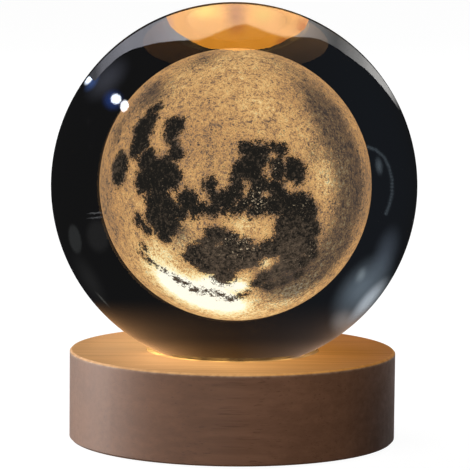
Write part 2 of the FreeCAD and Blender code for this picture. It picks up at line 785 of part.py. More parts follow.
def make_lead(label, side):
    """A lead that runs inwards along the board and bends up to the LED board."""
    place = f"{side} * Sizes.lead_place"
    low = "Places.board_top + Sizes.lead_radius"
    run = cylinder(label + "_run", "Sizes.lead_radius", "Places.lead_start - Places.lead_turn")
    run.Placement = Placement(Vector(), Rotation(Vector(1, 0, 0), 90))
    put(run, place, "Places.lead_start", low)
    bend = document.addObject("Part::Torus", label + "_bend")
    bend.setExpression("Radius1", "Places.lead_bend")
    bend.setExpression("Radius2", "Sizes.lead_radius")
    bend.Angle3 = 90
    quarter = Rotation(Vector(0, 0, -1), Vector(0, -1, 0), Vector(-1, 0, 0), "XYZ")
    bend.Placement = Placement(Vector(), quarter)
    put(bend, place, "Places.lead_turn", f"{low} + Places.lead_bend")
    rise = cylinder(label + "_rise", "Sizes.lead_radius",
                    f"Places.led_board_floor - ({low}) - Places.lead_bend")
    put(rise, place, "Places.lead_turn - Places.lead_bend", f"{low} + Places.lead_bend")
    lead = fused(label + "_whole", [run, bend, rise])
    lead.Refine = True
    keep(lead, label)


# ---- Power inlet, in a frame whose Y axis is the middle of the socket ----

def socket_body(name):
    return put(new_body(name), "Sizes.inlet_place", "0", "Places.inlet_centre")


def make_usb_socket_shell():
    """The socket's drawn steel shell, open at the mouth."""
    body = socket_body("socket_shell")
    outline = new_sketch(body, "socket_outline", "XZ_Plane", height="-Places.inlet_back")
    add_stadium(outline, "Sizes.inlet_width", "Sizes.inlet_height", "0", "0")
    add_stadium(outline, "(Sizes.inlet_width - 2 * Sizes.inlet_wall)",
                "(Sizes.inlet_height - 2 * Sizes.inlet_wall)", "0", "0")
    extruded(body, "Pad", outline, "Sizes.inlet_length", along_normal=False)
    keep(body, "usb_socket_shell")


def make_usb_socket_tongue():
    """The socket's plastic insert: a block that closes the back of the shell, and a tongue."""
    body = socket_body("socket_insert")
    block = new_sketch(body, "socket_block", "XZ_Plane", height="-Places.inlet_back")
    inset = "2 * (Sizes.inlet_wall + Sizes.tongue_fit)"
    add_stadium(block, f"(Sizes.inlet_width - {inset})", f"(Sizes.inlet_height - {inset})", "0", "0")
    extruded(body, "Pad", block, "Sizes.tongue_root", along_normal=False)
    tongue = new_sketch(body, "socket_tongue", "XZ_Plane", height="-Places.inlet_back")
    add_rectangle(tongue, "-Sizes.tongue_width / 2", "Sizes.tongue_width / 2",
                  "-Sizes.tongue_thickness / 2", "Sizes.tongue_thickness / 2")
    extruded(body, "Pad", tongue, "Places.tongue_front - Places.inlet_back", along_normal=False)
    keep(body, "usb_socket_tongue")


def make_usb_contacts():
    """Twelve contact strips on each face of the tongue."""
    strips = []
    for index in range(12):
        across = f"({index} - 5.5) * Sizes.contact_pitch - Sizes.contact_width / 2"
        for side, up in (("top", "Sizes.tongue_thickness / 2"),
                         ("under", "-Sizes.tongue_thickness / 2 - Sizes.contact_thickness")):
            corner = (across, "Places.tongue_front - 2 * Sizes.contact_pitch - Sizes.contact_length", up)
            extent = ("Sizes.contact_width", "Sizes.contact_length", "Sizes.contact_thickness")
            strips.append(box(f"contact_{side}_{index}", corner, extent))
    contacts = grouped("contacts", strips)
    keep(put(contacts, "Sizes.inlet_place", "0", "Places.inlet_centre"), "usb_contacts")


# ---- Push switch and button, in a frame whose Y axis is the line of travel ----

def switch_frame(piece):
    return put(piece, "Sizes.button_place", "0", "Places.inlet_centre")


def make_switch_body():
    """The switch's case, bored for its plunger and spring."""
    body = switch_frame(new_body("switch_case"))
    floor = "Places.board_top - Places.inlet_centre"
    case = new_sketch(body, "switch_case_outline", "XY_Plane", height=floor)
    add_rectangle(case, "-Sizes.switch_width / 2", "Sizes.switch_width / 2", "Places.switch_back",
                  "Places.switch_front")
    extruded(body, "Pad", case, "Sizes.switch_height")
    front_wall = "Places.switch_front - Sizes.switch_front_wall"
    mouth = "Sizes.plunger_radius + Sizes.plunger_fit"
    bore = add_outline(new_sketch(body, "switch_bore", "XY_Plane"), [
        ("0", "Places.spring_back"),
        ("Sizes.switch_bore_radius", "Places.spring_back"),
        ("Sizes.switch_bore_radius", front_wall),
        (mouth, front_wall),
        (mouth, "Places.switch_front"),
        ("0", "Places.switch_front"),
    ])
    turned(body, "Groove", bore)
    keep(body, "switch_body")


def make_switch_plunger():
    """The plunger: a head that the spring pushes, and a stem that carries the button."""
    body = switch_frame(new_body("plunger"))
    outline = add_outline(new_sketch(body, "plunger_outline", "XY_Plane"), [
        ("0", "Places.plunger_back"),
        ("Sizes.plunger_head_radius", "Places.plunger_back"),
        ("Sizes.plunger_head_radius", "Places.plunger_front"),
        ("Sizes.plunger_radius", "Places.plunger_front"),
        ("Sizes.plunger_radius", "Places.stem_end"),
        ("0", "Places.stem_end"),
    ])
    turned(body, "Revolution", outline)
    keep(body, "switch_plunger")


def make_switch_spring():
    """The return spring, between the back of the bore and the plunger's head."""
    length = "(Places.plunger_back - Places.spring_back - 2 * Sizes.spring_wire)"
    line = document.addObject("Part::Helix", "spring_line")
    line.setExpression("Radius", "Sizes.spring_radius")
    line.setExpression("Height", length)
    line.setExpression("Pitch", f"{length} / Sizes.spring_turns")
    section = document.addObject("Part::Circle", "spring_section")
    section.setExpression("Radius", "Sizes.spring_wire")
    section.Placement = Placement(Vector(), Rotation(Vector(1, 0, 0), 90))
    put(section, "Sizes.spring_radius")
    spring = document.addObject("Part::Sweep", "spring_wire")
    spring.Sections = [section]
    spring.Spine = (line, [])
    spring.Solid = True
    spring.Frenet = True
    spring.Placement = Placement(Vector(), Rotation(Vector(1, 0, 0), -90))
    put(spring, "Sizes.button_place", "Places.spring_back + Sizes.spring_wire", "Places.inlet_centre")
    keep(spring, "switch_spring")


def make_button_cap():
    """The button: a round cap with a collar behind the bezel and a socket for the plunger's stem."""
    body = switch_frame(new_body("button"))
    socket = "Sizes.plunger_radius + Sizes.screw_fit"
    outline = add_outline(new_sketch(body, "button_outline", "XY_Plane"), [
        (socket, "Places.collar_front"),
        ("Places.collar_radius", "Places.collar_front"),
        ("Places.collar_radius", "Places.collar_back"),
        ("Sizes.button_radius", "Places.collar_back"),
        ("Sizes.button_radius", "Places.button_tip - Sizes.button_edge"),
        ("Sizes.button_radius - Sizes.button_edge", "Places.button_tip"),
        ("0", "Places.button_tip"),
        ("0", "Places.stem_end + Sizes.plunger_fit"),
        (socket, "Places.stem_end + Sizes.plunger_fit"),
    ])
    turned(body, "Revolution", outline)
    keep(body, "button_cap")


# ---- Rear bezel ----

def make_rear_bezel():
    """The plate in the rear slot, with a flange inside the wall and two pillars for the control board."""
    body = new_body("bezel")
    plate = new_sketch(body, "bezel_plate", "XZ_Plane", height="-Places.pocket_back")
    add_stadium(plate, "Places.bezel_width", "Sizes.bezel_height", "0", "Places.inlet_centre")
    extruded(body, "Pad", plate, "Places.bezel_face - Places.pocket_back", along_normal=False)
    flange = new_sketch(body, "bezel_flange", "XZ_Plane", height="-Places.flange_back")
    add_rectangle(flange, "-Places.flange_half", "Places.flange_half",
                  "Places.cover_top + Sizes.flange_fit", "Places.deck_floor")
    extruded(body, "Pad", flange, "Sizes.flange_thickness", along_normal=False)
    arm = new_sketch(body, "bezel_arm", "XY_Plane", height="Places.arm_floor")
    add_rectangle(arm, "Places.pillar_place - Sizes.pillar_radius",
                  "Places.pillar_place + Sizes.pillar_radius", "Places.pillar_depth", "Places.flange_back")
    arm_run = extruded(body, "Pad", arm, "Places.deck_floor - Places.arm_floor")
    pillar = new_sketch(body, "bezel_pillar", "XY_Plane", height="Places.board_top")
    add_circle(pillar, "Sizes.pillar_radius", "Places.pillar_place", "Places.pillar_depth")
    pillar_run = extruded(body, "Pad", pillar, "Places.deck_floor - Places.board_top")
    hole = new_sketch(body, "bezel_screw_hole", "XY_Plane", height="Places.board_top")
    add_circle(hole, "Places.screw_hole_radius", "Places.pillar_place", "Places.pillar_depth")
    hole_run = extruded(body, "Pocket", hole, "Places.deck_floor - Places.board_top")
    mirror_pattern(body, [arm_run, pillar_run, hole_run])
    through = "Places.bezel_face - Places.flange_back"
    mouth = new_sketch(body, "bezel_inlet_hole", "XZ_Plane", height="-Places.flange_back")
    add_stadium(mouth, "(Sizes.inlet_width + 2 * Sizes.inlet_fit)",
                "(Sizes.inlet_height + 2 * Sizes.inlet_fit)", "Sizes.inlet_place", "Places.inlet_centre")
    extruded(body, "Pocket", mouth, through, along_normal=False)
    button_hole = new_sketch(body, "bezel_button_hole", "XZ_Plane", height="-Places.flange_back")
    add_circle(button_hole, "Sizes.button_radius + Sizes.button_fit", "Sizes.button_place",
               "Places.inlet_centre")
    extruded(body, "Pocket", button_hole, through, along_normal=False)
    keep(body, "rear_bezel")


# ---- The whole lamp ----

def check_document():
    """Stop on any feature that failed, and on any sub-part that isn't a sound solid."""
    failed = [item.Name for item in document.Objects if {"Invalid", "Error"} & set(item.State)]
    if failed:
        raise RuntimeError("failed features: " + ", ".join(failed))
    for piece in subparts:
        shape = piece.Shape
        if shape.isNull() or not shape.isValid() or not shape.Solids:
            raise RuntimeError("unsound shape: " + piece.Label)


def check_cuts():
    """Stop when a pocket, groove or cut took nothing away from the solid before it."""
    for item in document.Objects:
        if item.TypeId in ("PartDesign::Pocket", "PartDesign::Groove"):
            before = item.BaseFeature.Shape.Volume
            if item.Shape.Volume > before - 1e-3:
                raise RuntimeError("cut nothing: " + item.Name)


def write_parts():
    """Write each sub-part's solids to a file under its label, and print what they are."""
    os.makedirs("parts", exist_ok=True)
    for piece in subparts:
        shape = piece.Shape
        shape.exportStep(f"parts/{piece.Label}.step")
        corners = shape.BoundBox
        print(f"{piece.Label:22s} {len(shape.Solids):3d} solids {shape.Volume:12.2f} mm3",
              f"x {corners.XMin:7.2f} {corners.XMax:7.2f}  y {corners.YMin:7.2f} {corners.YMax:7.2f}",
              f"z {corners.ZMin:7.2f} {corners.ZMax:7.2f}")


def main():
    fill_sheet()
    make_glass_ball()
    make_engraved_moon()
    make_wooden_base()
    make_seat_ring()
    make_bottom_cover()
    make_anti_slip_pad()
    make_cover_screws()
    make_reflector_cup()
    make_diffuser_disc()
    make_led_board()
    make_leds()
    make_led_board_screws()
    make_lead("red_lead", -1)
    make_lead("black_lead", 1)
    make_solder_joints()
    make_control_board()
    make_driver_chip()
    make_board_capacitors()
    make_control_board_screws()
    make_usb_socket_shell()
    make_usb_socket_tongue()
    make_usb_contacts()
    make_switch_body()
    make_switch_plunger()
    make_switch_spring()
    make_button_cap()
    make_rear_bezel()
    document.recompute()
    check_document()
    check_cuts()
    write_parts()


main()
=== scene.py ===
import math

import bpy
import numpy as np
from mathutils import Matrix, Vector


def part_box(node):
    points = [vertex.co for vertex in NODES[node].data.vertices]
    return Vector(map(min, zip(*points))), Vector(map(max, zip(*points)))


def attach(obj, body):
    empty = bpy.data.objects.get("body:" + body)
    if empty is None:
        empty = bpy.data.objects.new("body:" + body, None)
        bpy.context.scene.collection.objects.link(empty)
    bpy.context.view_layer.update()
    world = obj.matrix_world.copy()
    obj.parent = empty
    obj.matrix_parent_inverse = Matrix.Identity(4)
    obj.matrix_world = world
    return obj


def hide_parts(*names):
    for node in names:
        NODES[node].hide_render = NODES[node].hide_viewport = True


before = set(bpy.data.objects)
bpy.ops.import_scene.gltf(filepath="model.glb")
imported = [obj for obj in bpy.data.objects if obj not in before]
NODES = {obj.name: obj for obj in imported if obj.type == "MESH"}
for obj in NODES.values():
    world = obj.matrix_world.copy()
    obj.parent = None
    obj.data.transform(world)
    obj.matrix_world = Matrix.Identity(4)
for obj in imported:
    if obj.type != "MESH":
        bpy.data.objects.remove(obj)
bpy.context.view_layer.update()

bl_info = {
    "name": "Moon Lamp",
    "version": (1, 0, 0),
    "blender": (4, 5, 0),
    "location": "View3D > Sidebar > Moon Lamp",
    "description": "Finishes the pieces of a glass ball lamp with an engraved moon, and sets up its studio",
    "category": "Object",
}

MM = 0.001


def box_corners(node):
    """The low and the high corner of a solid's box."""
    return (np.array(corner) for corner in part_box(node))


BALL_LOW, BALL_HIGH = box_corners("glass_ball")
BALL_CENTRE = (BALL_LOW + BALL_HIGH) / 2
BALL_RADIUS = float((BALL_HIGH - BALL_LOW).min() / 2)
MOON_LOW, MOON_HIGH = box_corners("engraved_moon")
MOON_RADIUS = float((MOON_HIGH - MOON_LOW).min() / 2)
# The photo's moon is a little off the ball's middle, and a little smaller than the solid layer
MOON_CENTRE = BALL_CENTRE + np.array([0.2, 0.0, 0.15]) * MM
ENGRAVING_RADIUS = 0.993 * MOON_RADIUS
BASE_RADIUS, BASE_TOP = (float(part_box("wooden_base")[1][axis]) for axis in (0, 2))
RING_RADIUS = float(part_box("seat_ring")[1][0])

# The photograph's camera: its place in metres, its turns in radians and its focal length in pixels
CAMERA_PLACE = np.array([0.0, -0.6575, 0.1191])
CAMERA_YAW = 0.00045
CAMERA_PITCH = -0.11187
CAMERA_ROLL = 0.00989
FOCAL_PIXELS = 3022
IMAGE_PIXELS = 470
SENSOR = 36.0

GLASS_INDEX = 1.52

# Dark seas and other dark places: circles, each a middle and a radius in photo pixels. A pixel is about half
# a degree of the moon
DEGREES_PER_PIXEL = 0.5
SEAS = {
    "Fecunditatis": [(143, 130, 12.5), (140, 143, 11), (135, 152, 5.5), (152, 119, 5.5), (157, 108, 3.5),
        (150, 113, 3.5)],
    "Nectaris": [(174, 126, 9.5), (172, 132, 7.5), (176, 151, 7), (174, 142, 4.5)],
    "Tranquillitatis": [(147, 160, 10.5), (160, 174, 19), (171, 177, 11), (147, 180, 12.5), (162, 162, 10),
        (142, 186, 7), (158, 194, 10)],
    "Serenitatis": [(160, 208, 16), (164, 223, 14.5), (153, 218, 9), (165, 233, 8), (175, 212, 7.5),
        (152, 204, 8)],
    "Crisium": [(119.5, 169.5, 13.5)],
    "Vaporum": [(187, 199, 9.5), (194, 208, 6.5), (203, 208, 5.5), (210, 187, 6), (213, 194, 5),
        (212, 210, 6), (219, 212, 6), (183, 210, 5)],
    "Somniorum": [(138, 222, 4.5), (148, 231, 3.5), (143, 226, 2.5)],
    "Medii": [(226, 199, 9.5), (234, 193, 7), (243, 203, 5.5), (237, 208, 5), (218, 203, 6)],
    "Imbrium": [(199, 257, 13), (213, 262, 18), (232, 257, 18.5), (248, 258, 13), (223, 276, 10),
        (214, 235, 9), (228, 241, 9.5), (243, 248, 11), (256, 254, 9), (190, 257, 5), (208, 244, 7.5)],
    "Nubium": [(256, 157, 13.5), (262, 152, 9), (248, 166, 9), (240, 170, 6.5), (252, 171, 10),
        (238, 178, 6), (237, 186, 5), (246, 148, 6)],
    "Humorum": [(294.5, 171, 12)],
    "Cognitum": [(262, 185, 10.5), (256, 178, 7), (273, 190, 10), (278, 166, 6.5), (281, 152, 5),
        (277, 175, 6), (284, 196, 7), (274, 147, 4)],
    "centre": [(262, 203, 11.5), (251, 198, 6.5), (275, 205, 10.5), (254, 211, 6)],
    "Procellarum": [(290, 207, 12), (302, 204, 10.5), (309, 211, 9), (300, 222, 15), (311, 231, 9.5),
        (288, 225, 12.5), (301, 241, 15), (284, 244, 14), (271, 250, 11.5), (310, 247, 8), (292, 257, 11)],
    "Roris": [(264, 277, 6.5), (277, 272, 7), (291, 266, 7), (303, 261, 6.5), (268, 286, 5), (283, 281, 5),
        (297, 274, 4.5), (257, 283, 4), (313, 255, 4)],
    "Frigoris": [(144.5, 246, 1.1), (142.5, 254, 1.7), (149, 260, 1.5), (157, 266, 0.7), (166, 272, 0.3),
        (177.5, 278, 1.7), (187, 282.5, 2.3), (197, 289, 1.7), (207, 291, 0.3), (214, 293, 0.7),
        (222, 295, 1.7), (230, 297.5, 2.3), (239, 296, 2.7), (247, 294, 1.9)],
}
# Pale places that break the seas, in the same form
BRIGHTS = {
    "bright crater": [(233, 223, 9.5), (223, 219, 7.5), (244, 231, 5), (213, 222, 6), (240, 221, 6)],
    "bright crater, right": [(269, 230, 6.5)],
    "cream spot": [(267, 263.5, 8.5)],
    "isles": [(268, 177, 5), (267, 195, 5), (245, 182, 6), (246, 192, 5.5), (290, 187, 8), (297, 189, 6.5),
        (272, 156, 5), (270, 166, 4)],
    "beside Crisium": [(163, 148, 9), (159, 138, 6.5)],
}
# The far side's dark places: circles, each a turn to the right of the front, a height and a radius in degrees
FAR_SEAS = {
    "upper left": [(-145.5, 47.5, 4.5), (-143.5, 52.5, 3.5), (-143.5, 58, 2.5), (-153.5, 48.5, 2)],
    "Moscoviense": [(-150, -16.5, 3.5), (-148.5, -12, 2.5), (-150.5, -20, 2), (-153.5, -13, 1.5)],
    "upper crater": [(-152.5, 35, 2.5), (-153, 31.5, 1.5)],
    "Ingenii": [(168, 31.5, 3.5), (162.5, 31.5, 2.5), (173, 31, 1.8), (158, 32, 1.8)],
    "lower basin": [(131, 17.5, 3), (135, 16, 2), (126.5, 19.5, 1.8)],
    "Orientale": [(114.5, -7, 2.5), (112.5, -10.5, 1.5)],
}

# Painted light and shade over the moon's glow: right and up in moon radii as seen from the front, spread in
# degrees, amount
GLOWS = [
    ("flare, upper left", -0.6, -0.57, 11, 0.11), ("flare, left", -0.46, -0.7, 11, 0.36),
    ("flare, middle left", -0.28, -0.79, 13, 0.44), ("flare, middle", -0.11, -0.84, 11, 0.42),
    ("flare, right", 0.03, -0.88, 7, 0.16), ("flare, inner", -0.14, -0.68, 8, 0.3),
    ("gold on the left", -0.52, -0.42, 12, 0.1), ("lower edge", 0, -0.95, 12, 0.08),
    ("left of the flare", -0.6, -0.5, 8, 0.06), ("Roris", 0.34, -0.62, 11, -0.18),
    ("Jura", 0.04, -0.72, 5, 0.34), ("right rim", 0.97, 0.02, 16, -0.1),
    ("gold above the seas", 0.22, 0.56, 24, 0.07), ("upper left", -0.36, 0.74, 16, 0.05),
    ("upper left rim", -0.62, 0.68, 10, -0.2), ("top", 0.06, 0.93, 13, 0.08),
    ("top, left", -0.24, 0.92, 7, -0.1), ("gold on the right", 0.66, 0.05, 9, 0.15),
    ("right of the middle", 0.4, 0.62, 10, -0.06), ("gold among the seas", 0.08, -0.27, 9, 0.14),
    ("cream spot", 0.22, -0.55, 5, 0.25), ("middle", -0.18, 0.34, 16, -0.09),
    ("left edge", -0.95, 0, 16, -0.14), ("left edge, lower", -0.9, -0.28, 10, -0.12),
    ("left edge, upper", -0.82, 0.45, 14, -0.1), ("upper right", 0.6, 0.66, 14, -0.11),
    ("right edge", 0.72, 0.45, 15, -0.16), ("right edge, middle", 0.84, 0.16, 13, -0.14),
    ("right edge, lower", 0.88, -0.12, 14, -0.13), ("right edge, low", 0.78, -0.4, 14, -0.13),
    ("lower right", 0.62, -0.62, 13, -0.12), ("lower edge, right", 0.41, -0.82, 8, 0.13),
    ("Apennine", -0.36, -0.42, 6, 0.09),
]

# Dark specks over the highlands, in the same form
SPECKS = [
    ("right edge, upper", 0.6, 0.6, 12, 0.9), ("right edge", 0.72, 0.38, 14, 1.15),
    ("right edge, middle", 0.82, 0.1, 13, 1.1), ("right edge, lower", 0.82, -0.16, 13, 0.9),
    ("right edge, low", 0.74, -0.42, 13, 0.9), ("lower right", 0.6, -0.6, 13, 1),
    ("lower edge", 0.42, -0.74, 12, 1), ("upper left", -0.6, 0.64, 12, 0.8), ("Roris", 0.28, -0.68, 10, 1),
    ("left edge, upper", -0.86, 0.38, 8, 0.7), ("top", -0.24, 0.9, 11, 0.6),
    ("top, right", 0.4, 0.84, 12, 0.45), ("among the seas", 0.1, 0, 9, 0.5),
    ("beside Humorum", 0.56, 0.22, 7, 0.4), ("Apennine front", -0.38, -0.4, 8, 0.55),
    ("Caucasus", -0.4, -0.3, 6, 0.5), ("middle", -0.16, 0.22, 14, 0.2),
]

# Bright specks inside the seas, in the same form
SPARKS = [
    ("among the seas", 0.16, -0.12, 9, 0.9), ("bright crater", 0.1, -0.4, 10, 0.9),
    ("right", 0.5, -0.16, 7, 0.6), ("right, lower", 0.54, -0.46, 8, 0.6), ("Nubium", 0.26, 0.18, 7, 0.6),
    ("Imbrium", -0.1, -0.42, 10, 0.5), ("Tranquillitatis", -0.5, -0.02, 8, 0.3),
]

# Painted brown glow on the seas' floors, in the same form
PAINTED_SEA_GLOWS = [
    ("Imbrium", -0.14, -0.5, 13, 1), ("Imbrium, right", 0.1, -0.54, 9, 0.8),
    ("Procellarum", 0.42, -0.4, 13, 1), ("Roris", 0.32, -0.64, 12, 1.1),
    ("Serenitatis", -0.54, -0.22, 8, 0.3), ("Crisium", -0.85, 0.12, 6, 0.8),
]

# How far the seas reach past their circles, and where the moon's front ends and its side begins, in degrees
SEA_GROWTH = 1.3
MOON_SIDE = (85, 99)
# The highlands' colours from dark to bright, given off as painted light, those of their cracks and their
# grit, and those of the painted brown glow and the flecks in the seas
LAND_TONES = [
    (0.0, (0.048, 0.035, 0.027)), (0.22, (0.16, 0.112, 0.077)), (0.42, (0.345, 0.198, 0.096)),
    (0.56, (0.545, 0.282, 0.105)), (0.72, (0.77, 0.47, 0.18)), (0.88, (0.97, 0.84, 0.45)),
    (1.0, (1.0, 0.96, 0.80)),
]
CRACKS = (0.12, 0.066, 0.034)
GRIT = (0.055, 0.042, 0.035)
PAINTED_SEA_GLOW = (0.170, 0.120, 0.080)
FLECKS = (0.72, 0.56, 0.36)
CRATER_COUNT = 240
CRATER_SEED = 11

# Soft lights that show in the glass around the moon: middle and half sizes in photo pixels, tilt in degrees,
# softness of the edge and the colour that shows
GLINTS = [
    ("spot_a_halo", (113, 100), (13, 13), 0, 1, (0.012, 0.034, 0.15)),
    ("spot_a", (116, 99), (6.2, 6), 0, 0.45, (1.3, 1.4, 1.5)),
    ("spot_b", (124.4, 106), (5, 7), 15, 0.45, (1.3, 1.3, 1.4)),
    ("faint_window", (107, 79), (34, 18), -47, 1, (0.030, 0.032, 0.042)),
    ("spot_c_halo", (92, 83), (6, 13), 39, 1, (0.02, 0.05, 0.16)),
    ("spot_c", (89, 79.5), (3.4, 8), 39, 0.8, (1.6, 1.8, 2.1)),
    ("window_wide", (362, 288), (24, 50), 40, 1, (0.095, 0.120, 0.145)),
    ("window_bright", (368, 301), (8.5, 36), 40.5, 0.9, (0.30, 0.33, 0.36)),
    ("window_spot", (361, 275), (6, 12), 28, 1, (0.09, 0.105, 0.11)),
    ("window_high", (386, 252), (15, 34), 19, 1, (0.032, 0.040, 0.052)),
    ("window_low", (343, 322), (16, 18), 50, 1, (0.120, 0.110, 0.105)),
    ("right_spot", (379, 166), (5, 12), -8, 1, (0.050, 0.062, 0.072)),
    ("left_patch", (75, 239), (7, 17), -12, 0.35, (0.016, 0.017, 0.017)),
    ("left_patch_wide", (98, 236), (14, 20), -10, 0.5, (0.008, 0.008, 0.008)),
    ("left_line_a", (96, 213), (11, 0.9), -4, 0.8, (0.085, 0.085, 0.088)),
    ("left_line_b", (96, 217.6), (11, 0.9), -6, 0.8, (0.075, 0.075, 0.078)),
    ("left_line_low", (102.5, 299.5), (1.1, 13), -42, 0.8, (0.050, 0.050, 0.045)),
    ("left_sheen", (90, 280), (12, 40), -30, 1, (0.008, 0.008, 0.008)),
]
# The colour of the wood along its rim, where it is worn and where a painted highlight lights its edge
RIM_WEAR_AND_HIGHLIGHT = (0.42, 0.27, 0.17)

# The painted reflection of the wood below the moon, on the room's sheet: its brightness across the photo, the
# rows where it fades in and where it grows brighter, and its green and blue against its red
PAINTED_WOOD_SHINE = [
    (100, 0.80), (140, 0.80), (175, 0.58), (205, 0.34), (240, 0.24), (280, 0.20), (310, 0.24), (345, 0.42),
]
PAINTED_WOOD_ROWS = (298, 338)
PAINTED_WOOD_LIFT_ROWS = (337, 351)
PAINTED_WOOD_GREEN = [(160, 0.50), (235, 0.42), (300, 0.60)]
PAINTED_WOOD_BLUE = [(160, 0.20), (235, 0.08), (300, 0.38)]
# The thin bright arc on the right: photo pixels that it passes through, its spread and the colour that shows
ARC = [(368, 147), (376, 150), (384, 157), (389, 167), (392, 180), (392, 194), (389, 206), (385, 216)]
ARC_SPREAD = 1.4
ARC_COLOUR = (0.040, 0.050, 0.058)

# The white sheet behind the lamp: its lower edge in photo pixels, its brightness along it, where it turns
# cool, and its two colours
SHEET_EDGE = [
    (95, 81), (99, 76), (108, 66.5), (120.8, 55.2), (132, 49.5), (144.4, 46), (156, 43), (168, 41.7),
    (185.7, 40.3), (198, 40), (205, 38), (215, 33.5), (225, 29.5), (235, 26), (245, 24), (255, 27),
    (265, 31), (275, 34.5), (285, 37), (298, 37), (310, 37.5), (319.8, 39.4), (332, 45), (344, 53.3),
    (356, 62), (368.3, 71.5), (377, 81), (386.5, 92), (393, 101), (399, 110),
]
SHEET_LIGHT = [
    (95, 0.05), (102, 0.12), (125, 0.19), (150, 0.19), (170, 0.25), (185, 0.30), (300, 0.20), (312, 0.17),
    (326, 0.11), (336, 0.075), (345, 0.13), (352, 0.17), (360, 0.21), (370, 0.34), (380, 0.38), (388, 0.38),
    (395, 0.18), (399, 0.03),
]
SHEET_COOL = (300, 100)
SHEET_WHITE = np.array((1.0, 0.98, 0.95))
SHEET_BLUE = np.array((0.97, 0.98, 1.12))

# The warm card above it, a painted reflection of the lamp's glow: its lower edge, its colours below and above
# the sheet's edge, the pixels over which one turns into the other, and the soft patches of colour that are
# added
CARD_EDGE = [
    (165, 14), (167, 21), (171, 27), (177, 32.5), (185, 37.5), (193, 42), (201, 46), (211, 49), (235, 51),
    (257, 50), (269, 47.5), (280, 43.5), (289, 38.5), (298, 34.5), (305, 28.5), (309, 21), (311, 15),
]
CARD_LOW = (0.53, 0.19, 0.004)
CARD_HIGH = (0.82, 0.43, 0.18)
CARD_STEP = (-2, 2)
CARD_PATCHES = [
    ("hot_left", (205, 11), (22, 13), (0.08, 0.24, 0.05)),
    ("hot_right", (263, 14), (18, 14), (-0.08, 0.06, 0.00)),
    ("middle", (236, 14), (18, 26), (-0.42, -0.23, -0.04)),
    ("right", (289, 20), (20, 16), (-0.17, -0.09, -0.04)),
    ("right_end", (304, 27), (13, 17), (-0.34, -0.26, -0.10)),
    ("left_end", (168, 24), (9, 13), (-0.16, -0.08, 0.05)),
    ("right_low", (285, 43), (15, 10), (-0.26, -0.13, -0.02)),
]

# The ball in the photo, in pixels: its middle, and how far out the reflectors reach. They end just past its
# outline, so that they also fill its rim, and the room starts under the moon's edge
BALL_IN_PHOTO = (234.5, 187.6)
OUTLINE = 183.7
ROOM_START = 132
ROOM_GREY = 0.008
# How far the reflectors stand from the glass, in metres. Between the first rows the room comes near, and
# between the second its last gap narrows, as the gap to the wood does
ROOM_DISTANCE = 0.34
SHEET_DISTANCE = 0.32
CARD_DISTANCE = 0.29
ROOM_NEAR_ROWS = (284, 304)
WOOD_GAP_ROWS = (307, 345)
WOOD_GAPS = (5.2 * MM, 1.2 * MM)

# The studio's lamps: place and width in metres. Their powers are settings
LAMPS = {
    "key": ((-0.70, -0.90, 0.90), 0.8), "side": ((-1.20, 0.30, 0.30), 1.0),
    "fill": ((0.25, -1.10, 0.25), 0.4), "back": ((-0.85, 1.10, 0.22), 0.8),
}
# Half the floor's width and how far it lies below the pad, in metres, and the strength of its white
FLOOR_REACH = 6.0
FLOOR_DROP = 0.05 * MM
FLOOR_WHITE = 1.21
# The black flag at the right: its two ends, seen from above, and its height
FLAG_ENDS = ((0.038, -0.060), (0.100, -0.010))
FLAG_HEIGHT = 0.023


# ---- Sizes and colours that a user would change ----

def colour(name, description, default):
    return bpy.props.FloatVectorProperty(name=name, description=description, default=default, size=3,
                                         subtype="COLOR", min=0.0, soft_max=1.0)


def length(name, description, default):
    return bpy.props.FloatProperty(name=name, description=description, default=default, unit="LENGTH")


def power(name, description, default):
    return bpy.props.FloatProperty(name=name, description=description, default=default, unit="POWER")


def number(name, description, default):
    return bpy.props.FloatProperty(name=name, description=description, default=default, min=0.0,
                                   soft_max=10.0)


class BallSettings(bpy.types.PropertyGroup):
    radius: length("Radius", "Radius of the glass ball", BALL_RADIUS)
    index: number("Index", "Refractive index of the glass", GLASS_INDEX)
    tint: colour("Tint", "Colour of the light that the glass lets through", (0.90, 0.93, 0.97))


class MoonSettings(bpy.types.PropertyGroup):
    radius: length("Radius", "Radius of the engraved layer", ENGRAVING_RADIUS)
    strength: number("Light", "Strength of the engraved layer's glow", 1.1)
    sea: colour("Seas", "Colour of the clear windows", (0.012, 0.011, 0.009))
    grain: length("Crack Size", "Size of the fine cracks", 0.22 * MM)


class WoodSettings(bpy.types.PropertyGroup):
    pale: colour("Pale Grain", "Colour between the wood's grain lines", (0.222, 0.100, 0.050))
    dark: colour("Dark Grain", "Colour of the wood's grain lines", (0.163, 0.071, 0.034))
    grain: length("Grain Spacing", "Distance between grain lines", 1.3 * MM)
    glow: number("Glow", "Strength of the warm light on the top", 0.73)


class LightSettings(bpy.types.PropertyGroup):
    warm: colour("Warm Light", "Colour of the light from the base", (1.0, 0.47, 0.11))
    well: number("Well", "Strength of the diffuser's light", 1.6)
    ring: number("Seat Ring", "Strength of the light in the seat ring", 1.3)


class StudioSettings(bpy.types.PropertyGroup):
    key: power("Key Light", "Power of the large lamp on the left", 5.0)
    side: power("Side Light", "Power of the lamp that grazes the left side", 30.0)
    fill: power("Fill Light", "Power of the lamp at the front", 2.3)
    back: power("Back Light", "Power of the lamp behind the lamp's left side", 14.0)
    sky: number("Sky", "Strength of the even light from all round", 0.07)
    tent: length("Tent Radius", "Radius of the black tent around the glass", 0.9)


# ---- Nodes ----

